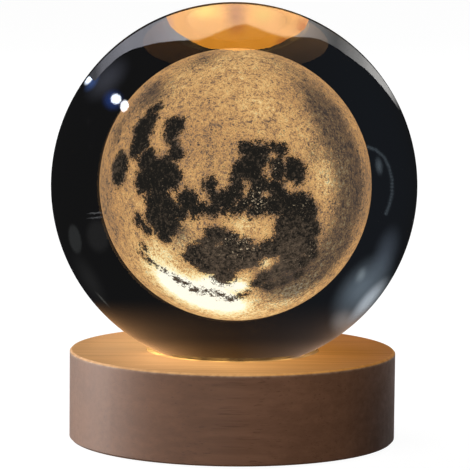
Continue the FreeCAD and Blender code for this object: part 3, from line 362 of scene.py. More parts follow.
class Value:
    """A number from a node's output. Arithmetic on it adds Math nodes."""

    def __init__(self, graph, socket):
        self.graph = graph
        self.socket = socket

    def math(self, operation, *numbers):
        return self.graph.node("ShaderNodeMath", {"operation": operation}, dict(enumerate(numbers)))

    def __add__(self, other):
        return self.math("ADD", self, other)

    __radd__ = __add__

    def __sub__(self, other):
        return self.math("SUBTRACT", self, other)

    def __rsub__(self, other):
        return self.math("SUBTRACT", other, self)

    def __mul__(self, other):
        return self.math("MULTIPLY", self, other)

    __rmul__ = __mul__

    def __truediv__(self, other):
        return self.math("DIVIDE", self, other)

    def __pow__(self, other):
        return self.math("POWER", self, other)

    def at_least(self, low):
        """The larger of the number and a low end."""
        return self.math("MAXIMUM", self, low)

    def at_most(self, high):
        """The smaller of the number and a high end."""
        return self.math("MINIMUM", self, high)

    def rise(self, low, high, to_low=0.0, to_high=1.0):
        """A smooth step from to_low at low to to_high at high."""
        sockets = {"Value": self, "From Min": low, "From Max": high, "To Min": to_low, "To Max": to_high}
        return self.graph.node("ShaderNodeMapRange", {"interpolation_type": "SMOOTHSTEP"}, sockets)


class Graph:
    """The nodes of a material or of the world."""

    def __init__(self, owner):
        owner.use_nodes = True
        self.tree = owner.node_tree
        self.tree.nodes.clear()

    def node(self, kind, settings=None, sockets=None, output=0):
        """Add a node: first its settings, then its sockets' values or links. Returns one of its outputs."""
        made = self.tree.nodes.new(kind)
        for name, value in (settings or {}).items():
            if name == "stops":
                self.fill_ramp(made.color_ramp.elements, value)
            else:
                setattr(made, name, value)
        for name, value in (sockets or {}).items():
            if isinstance(value, Value):
                self.tree.links.new(value.socket, made.inputs[name])
            else:
                made.inputs[name].default_value = value
        return Value(self, made.outputs[output]) if made.outputs else None

    def fill_ramp(self, elements, stops):
        """Set a ramp's stops, each a place and a colour."""
        while len(elements) < len(stops):
            elements.new(1.0)
        for element, (place, colour) in zip(elements, stops):
            element.position = place
            element.color = (*colour, 1.0)

    def spot(self, centre=(0, 0, 0), stretch=(1, 1, 1)):
        """Object coordinates in metres, moved to a centre and stretched along each axis."""
        here = self.node("ShaderNodeTexCoord", output="Object")
        place = [-middle * factor for middle, factor in zip(centre, stretch)]
        return self.node("ShaderNodeMapping", None, {"Vector": here, "Location": place, "Scale": stretch})

    def split(self, vector):
        """The three numbers of a vector."""
        parts = self.node("ShaderNodeSeparateXYZ", None, {0: vector}).socket.node
        return [Value(self, socket) for socket in parts.outputs]

    def attribute(self, name):
        """One of the numbers that a piece keeps for each of its points."""
        return self.node("ShaderNodeAttribute", {"attribute_name": name}, output="Fac")

    def noise(self, spot, size, detail=3.0, roughness=0.5, distortion=0.0):
        """Smooth noise from 0 to 1 with features of a size in metres."""
        return self.node("ShaderNodeTexNoise", None, {
            "Vector": spot, "Scale": 1 / size, "Detail": detail, "Roughness": roughness,
            "Distortion": distortion})

    def cells(self, spot, size, feature="F1", randomness=1.0):
        """Distance to the nearest of scattered points, a size in metres apart, or to their cells' edges."""
        return self.node("ShaderNodeTexVoronoi", {"feature": feature},
                         {"Vector": spot, "Scale": 1 / size, "Randomness": randomness}, output="Distance")

    def mix(self, factor, first, second, blend="MIX"):
        """A colour between two colours."""
        first, second = ((*colour, 1.0) if isinstance(colour, (tuple, list)) else colour
                         for colour in (first, second))
        return self.node("ShaderNodeMix", {"data_type": "RGBA", "blend_type": blend},
                         {0: factor, 6: first, 7: second}, output=2)

    def ramp(self, factor, stops):
        """A colour from a number, through stops of a place and a colour."""
        return self.node("ShaderNodeValToRGB", {"stops": stops}, {0: factor})

    def bump(self, height, distance):
        """A normal from a height between 0 and 1 that stands for a distance in metres."""
        return self.node("ShaderNodeBump", None, {"Height": height, "Distance": distance}, output="Normal")

    def surface(self, **sockets):
        """The finished surface, from names of its sockets with underscores for spaces."""
        named = {name.replace("_", " "): (*value, 1.0) if isinstance(value, tuple) else value
                 for name, value in sockets.items()}
        self.finish(self.node("ShaderNodeBsdfPrincipled", None, named))

    def light(self, colour):
        """A finished surface that only gives light."""
        self.finish(self.node("ShaderNodeEmission", None, {"Color": colour, "Strength": 1.0}))

    def finish(self, shader, output="ShaderNodeOutputMaterial"):
        """Lead a shader to the output."""
        self.node(output, None, {"Surface": shader})


def new_material(name):
    """A new material and the graph that its nodes go into."""
    material = bpy.data.materials.new(name)
    return material, Graph(material)


def finish_node(node, material):
    """Give a part that keeps its solid's mesh its material."""
    mesh = NODES[node].data
    mesh.materials.clear()
    mesh.materials.append(material)


# ---- Shapes ----

def new_piece(name, points, faces, material, smooth=True):
    """A mesh object from arrays of points and of faces."""
    mesh = bpy.data.meshes.new(name)
    mesh.from_pydata(points.tolist(), [], faces)
    if smooth:
        mesh.shade_smooth()
    mesh.materials.append(material)
    piece = bpy.data.objects.new(name, mesh)
    bpy.context.scene.collection.objects.link(piece)
    return piece


def set_attribute(piece, name, numbers):
    """Keep one number for each point of a piece."""
    attribute = piece.data.attributes.new(name, "FLOAT", "POINT")
    attribute.data.foreach_set("value", numbers.astype(np.float32))


def globe(rings=218):
    """Unit directions over a ball and the faces that join them, with twice as many sides as rings.

    A point at polar angle p and turn t is (sin p cos t, sin p sin t, cos p). The two poles are single
    points, with triangles around them.
    """
    sides = 2 * rings
    polar, turn = np.meshgrid(np.linspace(0, math.pi, rings + 2)[1:-1],
                              np.linspace(0, 2 * math.pi, sides, endpoint=False), indexing="ij")
    rows = np.stack([np.sin(polar) * np.cos(turn), np.sin(polar) * np.sin(turn), np.cos(polar)], axis=-1)
    points = np.concatenate([rows.reshape(-1, 3), [[0, 0, 1], [0, 0, -1]]])
    index = np.arange(rings * sides).reshape(rings, sides)
    after = np.roll(index, -1, axis=1)
    quads = np.stack([index[:-1], index[1:], after[1:], after[:-1]], axis=-1).reshape(-1, 4)
    north = np.stack([np.full(sides, rings * sides), index[0], after[0]], axis=-1)
    south = np.stack([np.full(sides, rings * sides + 1), after[-1], index[-1]], axis=-1)
    return points, quads.tolist() + north.tolist() + south.tolist()


def unit(vectors):
    """Vectors over their own lengths."""
    return vectors / np.linalg.norm(vectors, axis=-1, keepdims=True)


def camera_axes():
    """The camera's right, up and forward directions."""
    forward = np.array([math.sin(CAMERA_YAW) * math.cos(CAMERA_PITCH),
                        math.cos(CAMERA_YAW) * math.cos(CAMERA_PITCH), math.sin(CAMERA_PITCH)])
    level = np.array([math.cos(CAMERA_YAW), -math.sin(CAMERA_YAW), 0.0])
    up = np.cross(level, forward)
    right = math.cos(CAMERA_ROLL) * level + math.sin(CAMERA_ROLL) * up
    return right, np.cross(right, forward), forward


def sight_rays(across, down):
    """Directions of the camera's rays through photo pixels."""
    right, top, forward = camera_axes()
    middle = IMAGE_PIXELS / 2
    return unit(forward + ((across - middle) / FOCAL_PIXELS)[:, None] * right
                - ((down - middle) / FOCAL_PIXELS)[:, None] * top)


def first_hit(start, rays, centre, radius):
    """Where rays first meet a ball. A ray that misses it gives its point nearest to the ball's middle."""
    offset = start - centre
    reach = np.sum(rays * offset, axis=-1)
    root = np.sqrt(np.maximum(reach ** 2 - np.sum(offset ** 2, axis=-1) + radius ** 2, 0))
    return start + (-reach - root)[:, None] * rays


def sight_on_glass(across, down):
    """The camera's rays through photo pixels: directions, places on the ball, its normals and the cosines."""
    rays = sight_rays(across, down)
    hits = first_hit(CAMERA_PLACE, rays, BALL_CENTRE, BALL_RADIUS)
    normals = unit(hits - BALL_CENTRE)
    return rays, hits, normals, -np.sum(rays * normals, axis=-1)


def seen_on_moon(across, down):
    """The directions on the moon that show at photo pixels.

    Each ray meets the ball, bends as light does in glass and runs on to the engraved layer. With c the cosine
    outside and n the glass's index, the ray inside is
    ray / n + (c / n - root of (1 - (1 - c squared) / n squared)) normal.
    """
    rays, hits, normals, facing = sight_on_glass(across, down)
    bend = facing / GLASS_INDEX - np.sqrt(1 - (1 - facing ** 2) / GLASS_INDEX ** 2)
    inner = rays / GLASS_INDEX + bend[:, None] * normals
    return unit(first_hit(hits, inner, MOON_CENTRE, ENGRAVING_RADIUS) - MOON_CENTRE)


def seen_from_front(across, up):
    """The direction on the moon that shows at a place in the photo, given in moon radii from its middle.

    The ball bends the sight lines inwards. At a share f of the moon's radius, the direction is
    asin(f) + asin(f n r / R) - asin(f r / R) from the middle, with n the glass's index and r / R the moon's
    radius over the ball's, so that the moon's edge shows places behind its sides.
    """
    forward = unit(BALL_CENTRE - CAMERA_PLACE)
    right = unit(np.cross(forward, camera_axes()[1]))
    top = np.cross(right, forward)
    reach = math.hypot(across, up)
    share = reach * MOON_RADIUS / BALL_RADIUS
    polar = math.asin(reach) + math.asin(share * GLASS_INDEX) - math.asin(share)
    return math.sin(polar) * (across * right + up * top) / reach - math.cos(polar) * forward


def degrees_from(points, direction):
    """Angles in degrees between unit vectors and one direction: the arc cosine of their product."""
    return np.degrees(np.arccos(np.clip(points @ direction, -1, 1)))


def wobble(points, seed, waves, frequency):
    """Smooth random vectors over a ball: a sum of sine waves with random directions and phases."""
    random = np.random.default_rng(seed)
    ways = random.normal(size=(waves, 3)) * frequency
    phases = random.uniform(0, 2 * math.pi, waves)
    pushes = random.normal(size=(waves, 3)) / math.sqrt(waves)
    return np.sin(points @ ways.T + phases) @ pushes


def photo_circles(table):
    """The directions and the radii in degrees of a table's circles, which are given in photo pixels."""
    across, down, reach = np.array([circle for circles in table.values() for circle in circles], float).T
    return list(zip(seen_on_moon(across, down), reach * DEGREES_PER_PIXEL))


def far_circles(table):
    """The same from turns t, heights h and radii: the direction is (sin t cos h, -cos t cos h, sin h)."""
    turn, height, reach = np.array([circle for circles in table.values() for circle in circles], float).T
    turn, height = np.radians(turn), np.radians(height)
    flat = np.cos(height)
    return list(zip(np.stack([np.sin(turn) * flat, -np.cos(turn) * flat, np.sin(height)], axis=-1), reach))


def sea_depth(points):
    """How far inside a sea each point lies, in degrees of arc: the largest of radius minus distance.

    The seas' round outlines are bent by sine waves, and pale places push them back.
    """
    bent = unit(points + 0.010 * wobble(points, 3, 24, 10.0) + 0.007 * wobble(points, 4, 24, 26.0))
    depth = np.full(len(points), -90.0)
    for direction, reach in photo_circles(SEAS) + far_circles(FAR_SEAS):
        depth = np.maximum(depth, reach - degrees_from(bent, direction))
    for direction, reach in photo_circles(BRIGHTS):
        depth = np.minimum(depth, degrees_from(bent, direction) - reach)
    return depth


def patches(points, rows):
    """A sum of soft round patches: amount times exp(-(distance / spread) squared)."""
    total = np.zeros(len(points))
    for _name, across, up, spread, amount in rows:
        distance = degrees_from(points, seen_from_front(across, up))
        total += amount * np.exp(-(distance / spread) ** 2)
    return total


def painted_crater_shading(points):
    """Craters as painted shade and highlight of their relief: with s the distance over the radius, dark
    inside s = 0.8 and a pale rim at s = 1.
    """
    random = np.random.default_rng(CRATER_SEED)
    centres = unit(random.normal(size=(CRATER_COUNT, 3)))
    reaches = 1.0 + 3.6 * random.uniform(size=CRATER_COUNT) ** 4
    total = np.zeros(len(points))
    for centre, reach in zip(centres, reaches):
        distance = degrees_from(points, centre) / reach
        total += 0.55 * np.exp(-((distance - 1.0) / 0.22) ** 2) - 0.4 * np.exp(-(distance / 0.75) ** 4)
    return np.clip(total, -0.6, 0.6)


# ---- The photo's mirror: where a studio reflector stands to show at a place in the glass ----

def mirrored(across, down, distance):
    """Points at a distance along the rays that pass through photo pixels and bounce off the glass ball.

    Also gives the share of light that the glass reflects there: with i and t the angles outside and inside,
    it is the mean of (sin(i - t) / sin(i + t)) squared and (tan(i - t) / tan(i + t)) squared.
    """
    rays, hits, normals, facing = sight_on_glass(across, down)
    bounced = rays + 2 * facing[:, None] * normals
    outside = np.arccos(np.clip(facing, 0.02, 0.9999))
    inside = np.arcsin(np.sin(outside) / GLASS_INDEX)
    share = ((np.sin(outside - inside) / np.sin(outside + inside)) ** 2
             + (np.tan(outside - inside) / np.tan(outside + inside)) ** 2) / 2
    return hits + np.reshape(distance, (-1, 1)) * bounced, share


def reflector(name, across, down, shown, distance, closed=False, base=ROOM_GREY):
    """A light-giving sheet for the glass alone: photo pixels, what each shows and the sheet's own tone."""
    rows, columns = across.shape
    points, share = mirrored(across.ravel(), down.ravel(), distance)
    index = np.arange(rows * columns).reshape(rows, columns)
    after = np.roll(index, -1, axis=1)
    if not closed:
        index, after = index[:, :-1], after[:, :-1]
    faces = np.stack([index[:-1], after[:-1], after[1:], index[1:]], axis=-1).reshape(-1, 4)
    sheet = new_piece(name, points, faces.tolist(), reflector_material())
    shine = np.ones((rows * columns, 4), np.float32)
    shine[:, :3] = shown.reshape(-1, 3) / share[:, None] + np.reshape(base, (-1, 3) if np.ndim(base) else ())
    attribute = sheet.data.attributes.new("shine", "FLOAT_COLOR", "POINT")
    attribute.data.foreach_set("color", shine.ravel())
    put_on_stage(sheet, "glossy")


def reflector_material():
    """Light of the colour and strength that the attribute shine gives."""
    material = bpy.data.materials.get("studio_reflector")
    if material is None:
        material, graph = new_material("studio_reflector")
        graph.light(graph.node("ShaderNodeAttribute", {"attribute_name": "shine"}))
        material.cycles.emission_sampling = "NONE"
    return material


def put_on_stage(piece, *rays):
    """Set which kinds of rays see a piece."""
    for kind in ("camera", "diffuse", "glossy", "transmission", "volume_scatter", "shadow"):
        setattr(piece, "visible_" + kind, kind in rays)


def smooth_step(numbers):
    """3 s squared - 2 s cubed, with s kept between 0 and 1."""
    numbers = np.clip(numbers, 0, 1)
    return numbers * numbers * (3 - 2 * numbers)


def step_between(numbers, ends):
    """A smooth step from 0 at the first end to 1 at the second."""
    return smooth_step((numbers - ends[0]) / (ends[1] - ends[0]))


def ellipse_fade(across, down, centre, half, tilt, softness):
    """1 inside an ellipse in the photo and 0 outside it, with a smooth step at its soft edge."""
    lean = math.radians(tilt)
    right, below = across - centre[0], down - centre[1]
    along = (right * math.cos(lean) + below * math.sin(lean)) / half[0]
    aside = (below * math.cos(lean) - right * math.sin(lean)) / half[1]
    return 1 - smooth_step((np.hypot(along, aside) - 1 + softness) / softness)


def make_room():
    """The room that the glass shows around the moon: dark, with the sum of the soft lights."""
    out, turn = np.meshgrid(np.linspace(ROOM_START, OUTLINE, 64),
                            np.linspace(0, 2 * math.pi, 1000, endpoint=False), indexing="ij")
    across, down = BALL_IN_PHOTO[0] + out * np.sin(turn), BALL_IN_PHOTO[1] - out * np.cos(turn)
    shown = np.zeros((*out.shape, 3))
    for _name, centre, half, tilt, softness, colour in GLINTS:
        shown += ellipse_fade(across, down, centre, half, tilt, softness)[..., None] * np.array(colour)
    bends = np.array(ARC, float)
    for start, end in zip(bends[:-1], bends[1:]):
        for place in np.linspace(start, end, 5)[:-1]:
            away = np.hypot(across - place[0], down - place[1])
            shown = np.maximum(shown, np.exp(-(away / ARC_SPREAD) ** 2)[..., None] * np.array(ARC_COLOUR))
    distance = np.interp(down, WOOD_GAP_ROWS, WOOD_GAPS)
    distance = distance + ROOM_DISTANCE * (1 - step_between(down, ROOM_NEAR_ROWS))
    # Painted reflection of the wood below the moon: the sheet's own tone, which the glass shows where it
    # would mirror the wood
    wood = step_between(down, PAINTED_WOOD_ROWS) * np.interp(across, *zip(*PAINTED_WOOD_SHINE))
    wood = wood * (1 + 0.9 * step_between(down, PAINTED_WOOD_LIFT_ROWS))
    green, blue = (np.interp(across, *zip(*row)) for row in (PAINTED_WOOD_GREEN, PAINTED_WOOD_BLUE))
    base = ROOM_GREY + wood[..., None] * np.stack([np.ones_like(wood), green, blue], axis=-1)
    reflector("dark_room", across, down, shown, distance, closed=True, base=base)


def up_to_the_edge(edge, rows, columns):
    """Photo pixels in rows from a lower edge, given by its corners, up to the ball's outline."""
    corners = np.array(edge, float) - BALL_IN_PHOTO
    angles = np.arctan2(corners[:, 0], -corners[:, 1])
    turn = np.linspace(angles[0], angles[-1], columns)[None, :]
    low = np.interp(turn, angles, np.hypot(corners[:, 0], corners[:, 1]))
    out = low + (OUTLINE - low) * np.linspace(0, 1, rows)[:, None] ** 0.7
    return BALL_IN_PHOTO[0] + out * np.sin(turn), BALL_IN_PHOTO[1] - out * np.cos(turn)


def make_sheet():
    """The white sheet behind the lamp, cool at its left end."""
    across, down = up_to_the_edge(SHEET_EDGE, 16, 240)
    light = np.interp(across, *zip(*SHEET_LIGHT))
    cool = step_between(across, SHEET_COOL)[..., None]
    shown = light[..., None] * (SHEET_WHITE + cool * (SHEET_BLUE - SHEET_WHITE))
    reflector("white_sheet", across, down, shown, SHEET_DISTANCE)


def make_card():
    """The warm card, a painted reflection of the lamp's glow: deep orange below the white sheet's edge and
    pale orange above it.
    """
    across, down = up_to_the_edge(CARD_EDGE, 40, 160)
    sheet_across, sheet_down = zip(*SHEET_EDGE)
    above = step_between(np.interp(across, sheet_across, sheet_down) - down, CARD_STEP)[..., None]
    shown = np.array(CARD_LOW) + above * (np.array(CARD_HIGH) - CARD_LOW)
    for _name, centre, half, colour in CARD_PATCHES:
        away = np.hypot((across - centre[0]) / half[0], (down - centre[1]) / half[1])
        shown = shown + (1 - smooth_step(away))[..., None] * np.array(colour)
    reflector("warm_card", across, down, np.maximum(shown, 0.01), CARD_DISTANCE)


# ---- Operators ----

class PieceOperator:
    """What the operators share."""
    bl_options = {"REGISTER", "UNDO"}


class MOON_LAMP_OT_glass_ball(PieceOperator, bpy.types.Operator):
    """Make the polished glass ball: points at one distance from its middle"""
    bl_idname = "moon_lamp.glass_ball"
    bl_label = "Glass Ball"

    def execute(self, context):
        settings = context.scene.moon_lamp_ball
        material, graph = new_material("optical_glass_polished")
        haze = graph.noise(graph.spot(), 9 * MM, 4.0)
        graph.surface(Base_Color=tuple(settings.tint), Roughness=haze.rise(0.45, 0.8, 0.0, 0.012),
                      IOR=settings.index, Transmission_Weight=1.0)
        directions, faces = globe()
        ball = new_piece("glass_ball_polished", BALL_CENTRE + settings.radius * directions, faces, material)
        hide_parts("glass_ball")
        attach(ball, "ball")
        return {"FINISHED"}


class MOON_LAMP_OT_engraved_moon(PieceOperator, bpy.types.Operator):
    """Make the engraved moon: highlands of fine cracks that glow with painted light, and dark seas"""
    bl_idname = "moon_lamp.engraved_moon"
    bl_label = "Engraved Moon"

    def execute(self, context):
        settings = context.scene.moon_lamp_moon
        directions, faces = globe()
        material = moon_material(settings)
        moon = new_piece("engraved_moon_layer", MOON_CENTRE + settings.radius * directions, faces, material)
        below = np.clip(-directions[:, 2], 0, 1) ** 3
        behind = degrees_from(directions, unit(CAMERA_PLACE - BALL_CENTRE))
        side = step_between(behind, MOON_SIDE)
        set_attribute(moon, "sea", sea_depth(directions))
        # The glow is painted light: patches of painted light and shade, brighter towards the bottom above the
        # light well and dimmer at the moon's sides
        set_attribute(moon, "glow", 0.52 + patches(directions, GLOWS) + 0.12 * below - 0.03 * side)
        set_attribute(moon, "speck", (0.12 + patches(directions, SPECKS)) * (1 - 0.75 * side))
        set_attribute(moon, "spark", patches(directions, SPARKS))
        set_attribute(moon, "haze", patches(directions, PAINTED_SEA_GLOWS))
        # Craters' relief as painted shade in their floors and a painted highlight on their rims
        set_attribute(moon, "crater", painted_crater_shading(directions))
        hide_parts("engraved_moon")
        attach(moon, "ball")
        return {"FINISHED"}


def moon_material(settings):
    """The engraving: a painted glow whose tone follows the painted light on it, broken by cracks, craters and
    specks, and cut away by seas.
    """
    material, graph = new_material("engraved_highlands_and_seas")
    spot = graph.spot(BALL_CENTRE)
    fine = graph.noise(spot, settings.grain, 2.0, 0.6) - 0.5
    grain = graph.noise(spot, 1.6 * settings.grain, 3.0, 0.65, 0.8) - 0.5
    strokes = graph.noise(spot, 2.6 * settings.grain, 3.0, 0.68, 2.2) - 0.5
    middling = graph.noise(spot, 0.75 * MM, 4.0, 0.6) - 0.5
    broad = graph.noise(spot, 2.6 * MM, 4.0, 0.55) - 0.5
    glow, speck, spark = (graph.attribute(name) for name in ("glow", "speck", "spark"))
    depth = graph.attribute("sea") + SEA_GROWTH + broad * 3 + middling * 12 + strokes * 14 + grain * 4
    sea = depth.rise(-0.12, 0.15)
    rough = (1 + speck * 1.3) * (1 - glow.rise(0.66, 0.95) * 0.8)
    ripple = broad * 0.5 + middling * 1.15 + strokes * 1.55 + grain * 1.1 + fine * 0.45
    ripple = (ripple - ripple.at_least(0.0) * 0.66) * rough
    land = graph.ramp(glow + graph.attribute("crater") * 0.10 + ripple + 0.058 + speck * 0.04, LAND_TONES)
    cracks = (1 - strokes.math("ABSOLUTE") * 15).at_least(0.0) * middling.rise(-0.10, 0.10)
    land = graph.mix(cracks * 0.50 * (1 - glow.rise(0.66, 0.90)), land, CRACKS)
    grit = (middling * 0.20 + strokes * 0.25 + grain * 0.55 + speck * 0.14).rise(0.065, 0.135)
    land = graph.mix(grit * 0.80 * (1 - glow.rise(0.70, 0.90)), land, GRIT)
    # Painted light on the seas' floors: a brown glow where the highlands glow brightest and in the painted
    # glow patches
    lit = glow.rise(0.50, 0.95) * 0.35 + graph.attribute("haze") * 0.38 - 0.10 + (
        strokes * 1.8 + middling * 1.6 + grain * 0.8)
    floor = graph.mix(lit.at_least(0.0).at_most(1.0), tuple(settings.sea), PAINTED_SEA_GLOW)
    floor = graph.mix((grain + spark * 0.12).rise(0.20, 0.26), floor, FLECKS)
    colour = graph.mix(sea, land, floor)
    # The engraving gives off its colour as light: painted light of the lamp's LEDs, as it is no lamp itself
    graph.surface(Base_Color=graph.mix(0.85, colour, (0.0, 0.0, 0.0)), Roughness=0.9, Specular_IOR_Level=0.0,
                  Emission_Color=colour, Emission_Strength=settings.strength)
    return material


class MOON_LAMP_OT_wooden_base(PieceOperator, bpy.types.Operator):
    """Stain and satin-finish the turned wooden base, with the lamp's warm light painted on its top"""
    bl_idname = "moon_lamp.wooden_base"
    bl_label = "Wooden Base"

    def execute(self, context):
        finish_node("wooden_base", wood_material(context.scene.moon_lamp_wood))
        return {"FINISHED"}


def wood_material(settings):
    """Wood whose grain runs along X, paler along its rim with wear and a painted edge highlight, with a
    painted warm glow that fades from the seat.
    """
    material, graph = new_material("stained_wood_satin")
    along = graph.spot(stretch=(0.045, 1, 1))
    figure = graph.noise(along, 9 * MM, 3.0, 0.5, 0.6)
    lines = graph.noise(along, settings.grain, 4.0, 0.62, 0.3)
    pores = graph.noise(graph.spot(stretch=(0.02, 1, 1)), 0.28 * MM, 2.0).rise(0.60, 0.72)
    tone = (lines * 0.65 + figure * 0.5).rise(0.38, 0.80)
    wood = graph.mix(tone, tuple(settings.pale), tuple(settings.dark))
    wood = graph.mix(pores * 0.45, wood, tuple(0.45 * part for part in settings.dark))
    x, y, z = graph.split(graph.spot())
    radius = (x * x + y * y) ** 0.5
    rim = radius.rise(BASE_RADIUS - 0.9 * MM, BASE_RADIUS - 0.3 * MM) * z.rise(
        BASE_TOP - 0.9 * MM, BASE_TOP - 0.3 * MM)
    # Paler along the top edge: wear and a painted edge highlight
    rim_wear_and_highlight = rim * graph.noise(graph.spot(), 1.6 * MM, 4.0, 0.7).rise(0.35, 0.65, 0.25, 0.9)
    wood = graph.mix(rim_wear_and_highlight, wood, RIM_WEAR_AND_HIGHLIGHT)
    top = z.rise(BASE_TOP - 0.5 * MM, BASE_TOP - 0.2 * MM)
    away = ((radius - RING_RADIUS) / (BASE_RADIUS - RING_RADIUS)).at_least(0.0)
    side = (x * -0.8 - y * 0.3) / BASE_RADIUS
    left, gloss = side.rise(-0.75, 0.75), side.rise(0.2, 0.65)
    # Painted warm light: the top's own colour is tinted orange, deeper on the right than on the left
    wood = graph.mix(top, wood, graph.mix(left, (1.0, 0.70, 0.20), (1.0, 0.84, 0.60)), blend="MULTIPLY")
    # Painted light: the top gives off the lamp's warm glow, brightest at the left front and fading away from
    # the seat
    level = 0.38 + left * 0.78 - (left - 0.74).at_least(0.0) * 1.8
    glow = (1 - away.rise(-0.3, 1.2) * 0.38) * level * top * (0.92 + 0.16 * (1 - tone))
    warm = graph.mix(left, (1.0, 0.38, 0.04), (1.0, 0.58, 0.23))
    graph.surface(
        Base_Color=wood, Roughness=0.40 + tone * 0.12 + pores * 0.15 + (1 - left) * 0.30,
        Specular_IOR_Level=0.3, Coat_Weight=(1 - top) * gloss, Coat_Roughness=0.42, Coat_IOR=1.8,
        Normal=graph.bump(lines * 0.5 + figure * 0.3 - pores * 0.6, 0.05 * MM),
        Emission_Color=graph.mix(glow, (0.0, 0.0, 0.0), warm), Emission_Strength=settings.glow)
    return material


class MOON_LAMP_OT_seat_ring(PieceOperator, bpy.types.Operator):
    """Finish the soft seat ring, with painted light from inside"""
    bl_idname = "moon_lamp.seat_ring"
    bl_label = "Seat Ring"

    def execute(self, context):
        light = context.scene.moon_lamp_light
        material, graph = new_material("clear_silicone_lit")
        spot = graph.spot()
        x, y, _z = graph.split(spot)
        cloud = graph.noise(spot, 5 * MM, 3.0, 0.6)
        # Painted light: the ring glows with the LEDs' light, brighter on its left
        left = (0.55 - (x * 0.6 + y * 0.35) / RING_RADIUS).at_least(0.1)
        glow = cloud.rise(0.35, 0.75, 0.25, 1.3) * left
        graph.surface(
            Base_Color=graph.mix(cloud, (0.60, 0.38, 0.15), (0.50, 0.30, 0.11)),
            Roughness=0.30 + cloud * 0.2, Normal=graph.bump(graph.noise(spot, 0.5 * MM, 3.0), 0.02 * MM),
            Emission_Color=graph.mix(glow, (0.02, 0.008, 0.001), (1.0, 0.52, 0.13)),
            Emission_Strength=light.ring)
        finish_node("seat_ring", material)
        return {"FINISHED"}


def plastic(node, name, colour, grain, roughness, glow=None):
    """Moulded plastic: a fine spark-eroded texture, a little dust in its tone and uneven polish."""
    material, graph = new_material(name)
    spot = graph.spot()
    skin = graph.cells(spot, grain)
    cloud = graph.noise(spot, 18 * grain, 4.0, 0.6)
    shade = graph.mix(cloud.rise(0.3, 0.8), colour, tuple(min(1.0, 1.25 * part + 0.006) for part in colour))
    extra = {} if glow is None else {
        "Emission_Color": graph.mix(cloud * 0.25, glow[0], tuple(0.8 * part for part in glow[0])),
        "Emission_Strength": glow[1]}
    graph.surface(Base_Color=shade, Roughness=roughness + (cloud - 0.5) * 0.2,
                  Normal=graph.bump(skin, 0.02 * MM), **extra)
    finish_node(node, material)


def metal(node, name, colour, brush, roughness=0.28):
    """Metal with fine drawn lines along one axis, and patches of duller plating."""
    material, graph = new_material(name)
    lines = graph.noise(graph.spot(stretch=brush), 0.12 * MM, 3.0, 0.6)
    dull = graph.noise(graph.spot(), 1.5 * MM, 4.0, 0.6).rise(0.45, 0.8)
    shade = graph.mix(dull * 0.5 + lines * 0.2, colour, tuple(0.6 * part for part in colour))
    graph.surface(Base_Color=shade, Metallic=1.0, Roughness=roughness + dull * 0.18 + lines * 0.1,
                  Normal=graph.bump(lines, 0.006 * MM))
    finish_node(node, material)


def circuit_board(node, name, mask, copper):
    """A lacquered board: tracks of copper under the lacquer, from the edges of a blocky pattern."""
    material, graph = new_material(name)
    spot = graph.spot()
    track = 1 - graph.cells(spot, 2.4 * MM, "DISTANCE_TO_EDGE", 0.55).rise(0.05, 0.08)
    weave = graph.noise(graph.spot(stretch=(1, 6, 1)), 0.4 * MM, 2.0)
    shade = graph.mix(weave * 0.3, mask, tuple(0.7 * part for part in mask))
    graph.surface(Base_Color=graph.mix(track * 0.6, shade, copper), Roughness=0.32 + weave * 0.12,
                  Coat_Weight=0.3, Normal=graph.bump(track, 0.03 * MM))
    finish_node(node, material)


class MOON_LAMP_OT_light_engine(PieceOperator, bpy.types.Operator):
    """Finish the cup, diffuser, LED board, LEDs, resistors and screws in the light well"""
    bl_idname = "moon_lamp.light_engine"
    bl_label = "Light Engine"

    def execute(self, context):
        light = context.scene.moon_lamp_light
        warm = tuple(light.warm)
        # The cup's glow is painted light: the LEDs' light on its white plastic
        plastic("reflector_cup", "white_plastic_lit", (0.86, 0.85, 0.82), 0.3 * MM, 0.45,
                glow=(warm, 0.35 * light.well))
        plastic("diffuser_disc", "frosted_plastic_lit", (0.94, 0.90, 0.82), 0.2 * MM, 0.7,
                glow=(warm, light.well))
        circuit_board("led_board", "white_board_lacquer", (0.86, 0.86, 0.83), (0.70, 0.66, 0.58))
        plastic("warm_leds", "led_resin", (0.95, 0.70, 0.20), 0.15 * MM, 0.25,
                glow=((1.0, 0.62, 0.22), light.well))
        plastic("led_resistors", "resistor_body", (0.03, 0.03, 0.032), 0.1 * MM, 0.4)
        metal("led_board_screws", "zinc_plated_steel", (0.60, 0.60, 0.58), (1, 1, 12))
        return {"FINISHED"}


class MOON_LAMP_OT_control_board(PieceOperator, bpy.types.Operator):
    """Finish the control board, its chip, capacitors, solder, leads and screws"""
    bl_idname = "moon_lamp.control_board"
    bl_label = "Control Board"

    def execute(self, context):
        circuit_board("control_board", "green_board_lacquer", (0.012, 0.15, 0.055), (0.05, 0.30, 0.10))
        plastic("driver_chip", "chip_body", (0.022, 0.022, 0.024), 0.08 * MM, 0.45)
        plastic("board_capacitors", "capacitor_ceramic", (0.42, 0.27, 0.15), 0.12 * MM, 0.5)
        metal("solder_joints", "solder_dull", (0.66, 0.66, 0.68), (1, 1, 1), 0.35)
        plastic("red_lead", "red_insulation_smooth", (0.55, 0.02, 0.015), 0.2 * MM, 0.3)
        plastic("black_lead", "black_insulation_smooth", (0.015, 0.015, 0.016), 0.2 * MM, 0.3)
        metal("control_board_screws", "board_screw_steel", (0.60, 0.60, 0.58), (1, 1, 12))
        return {"FINISHED"}


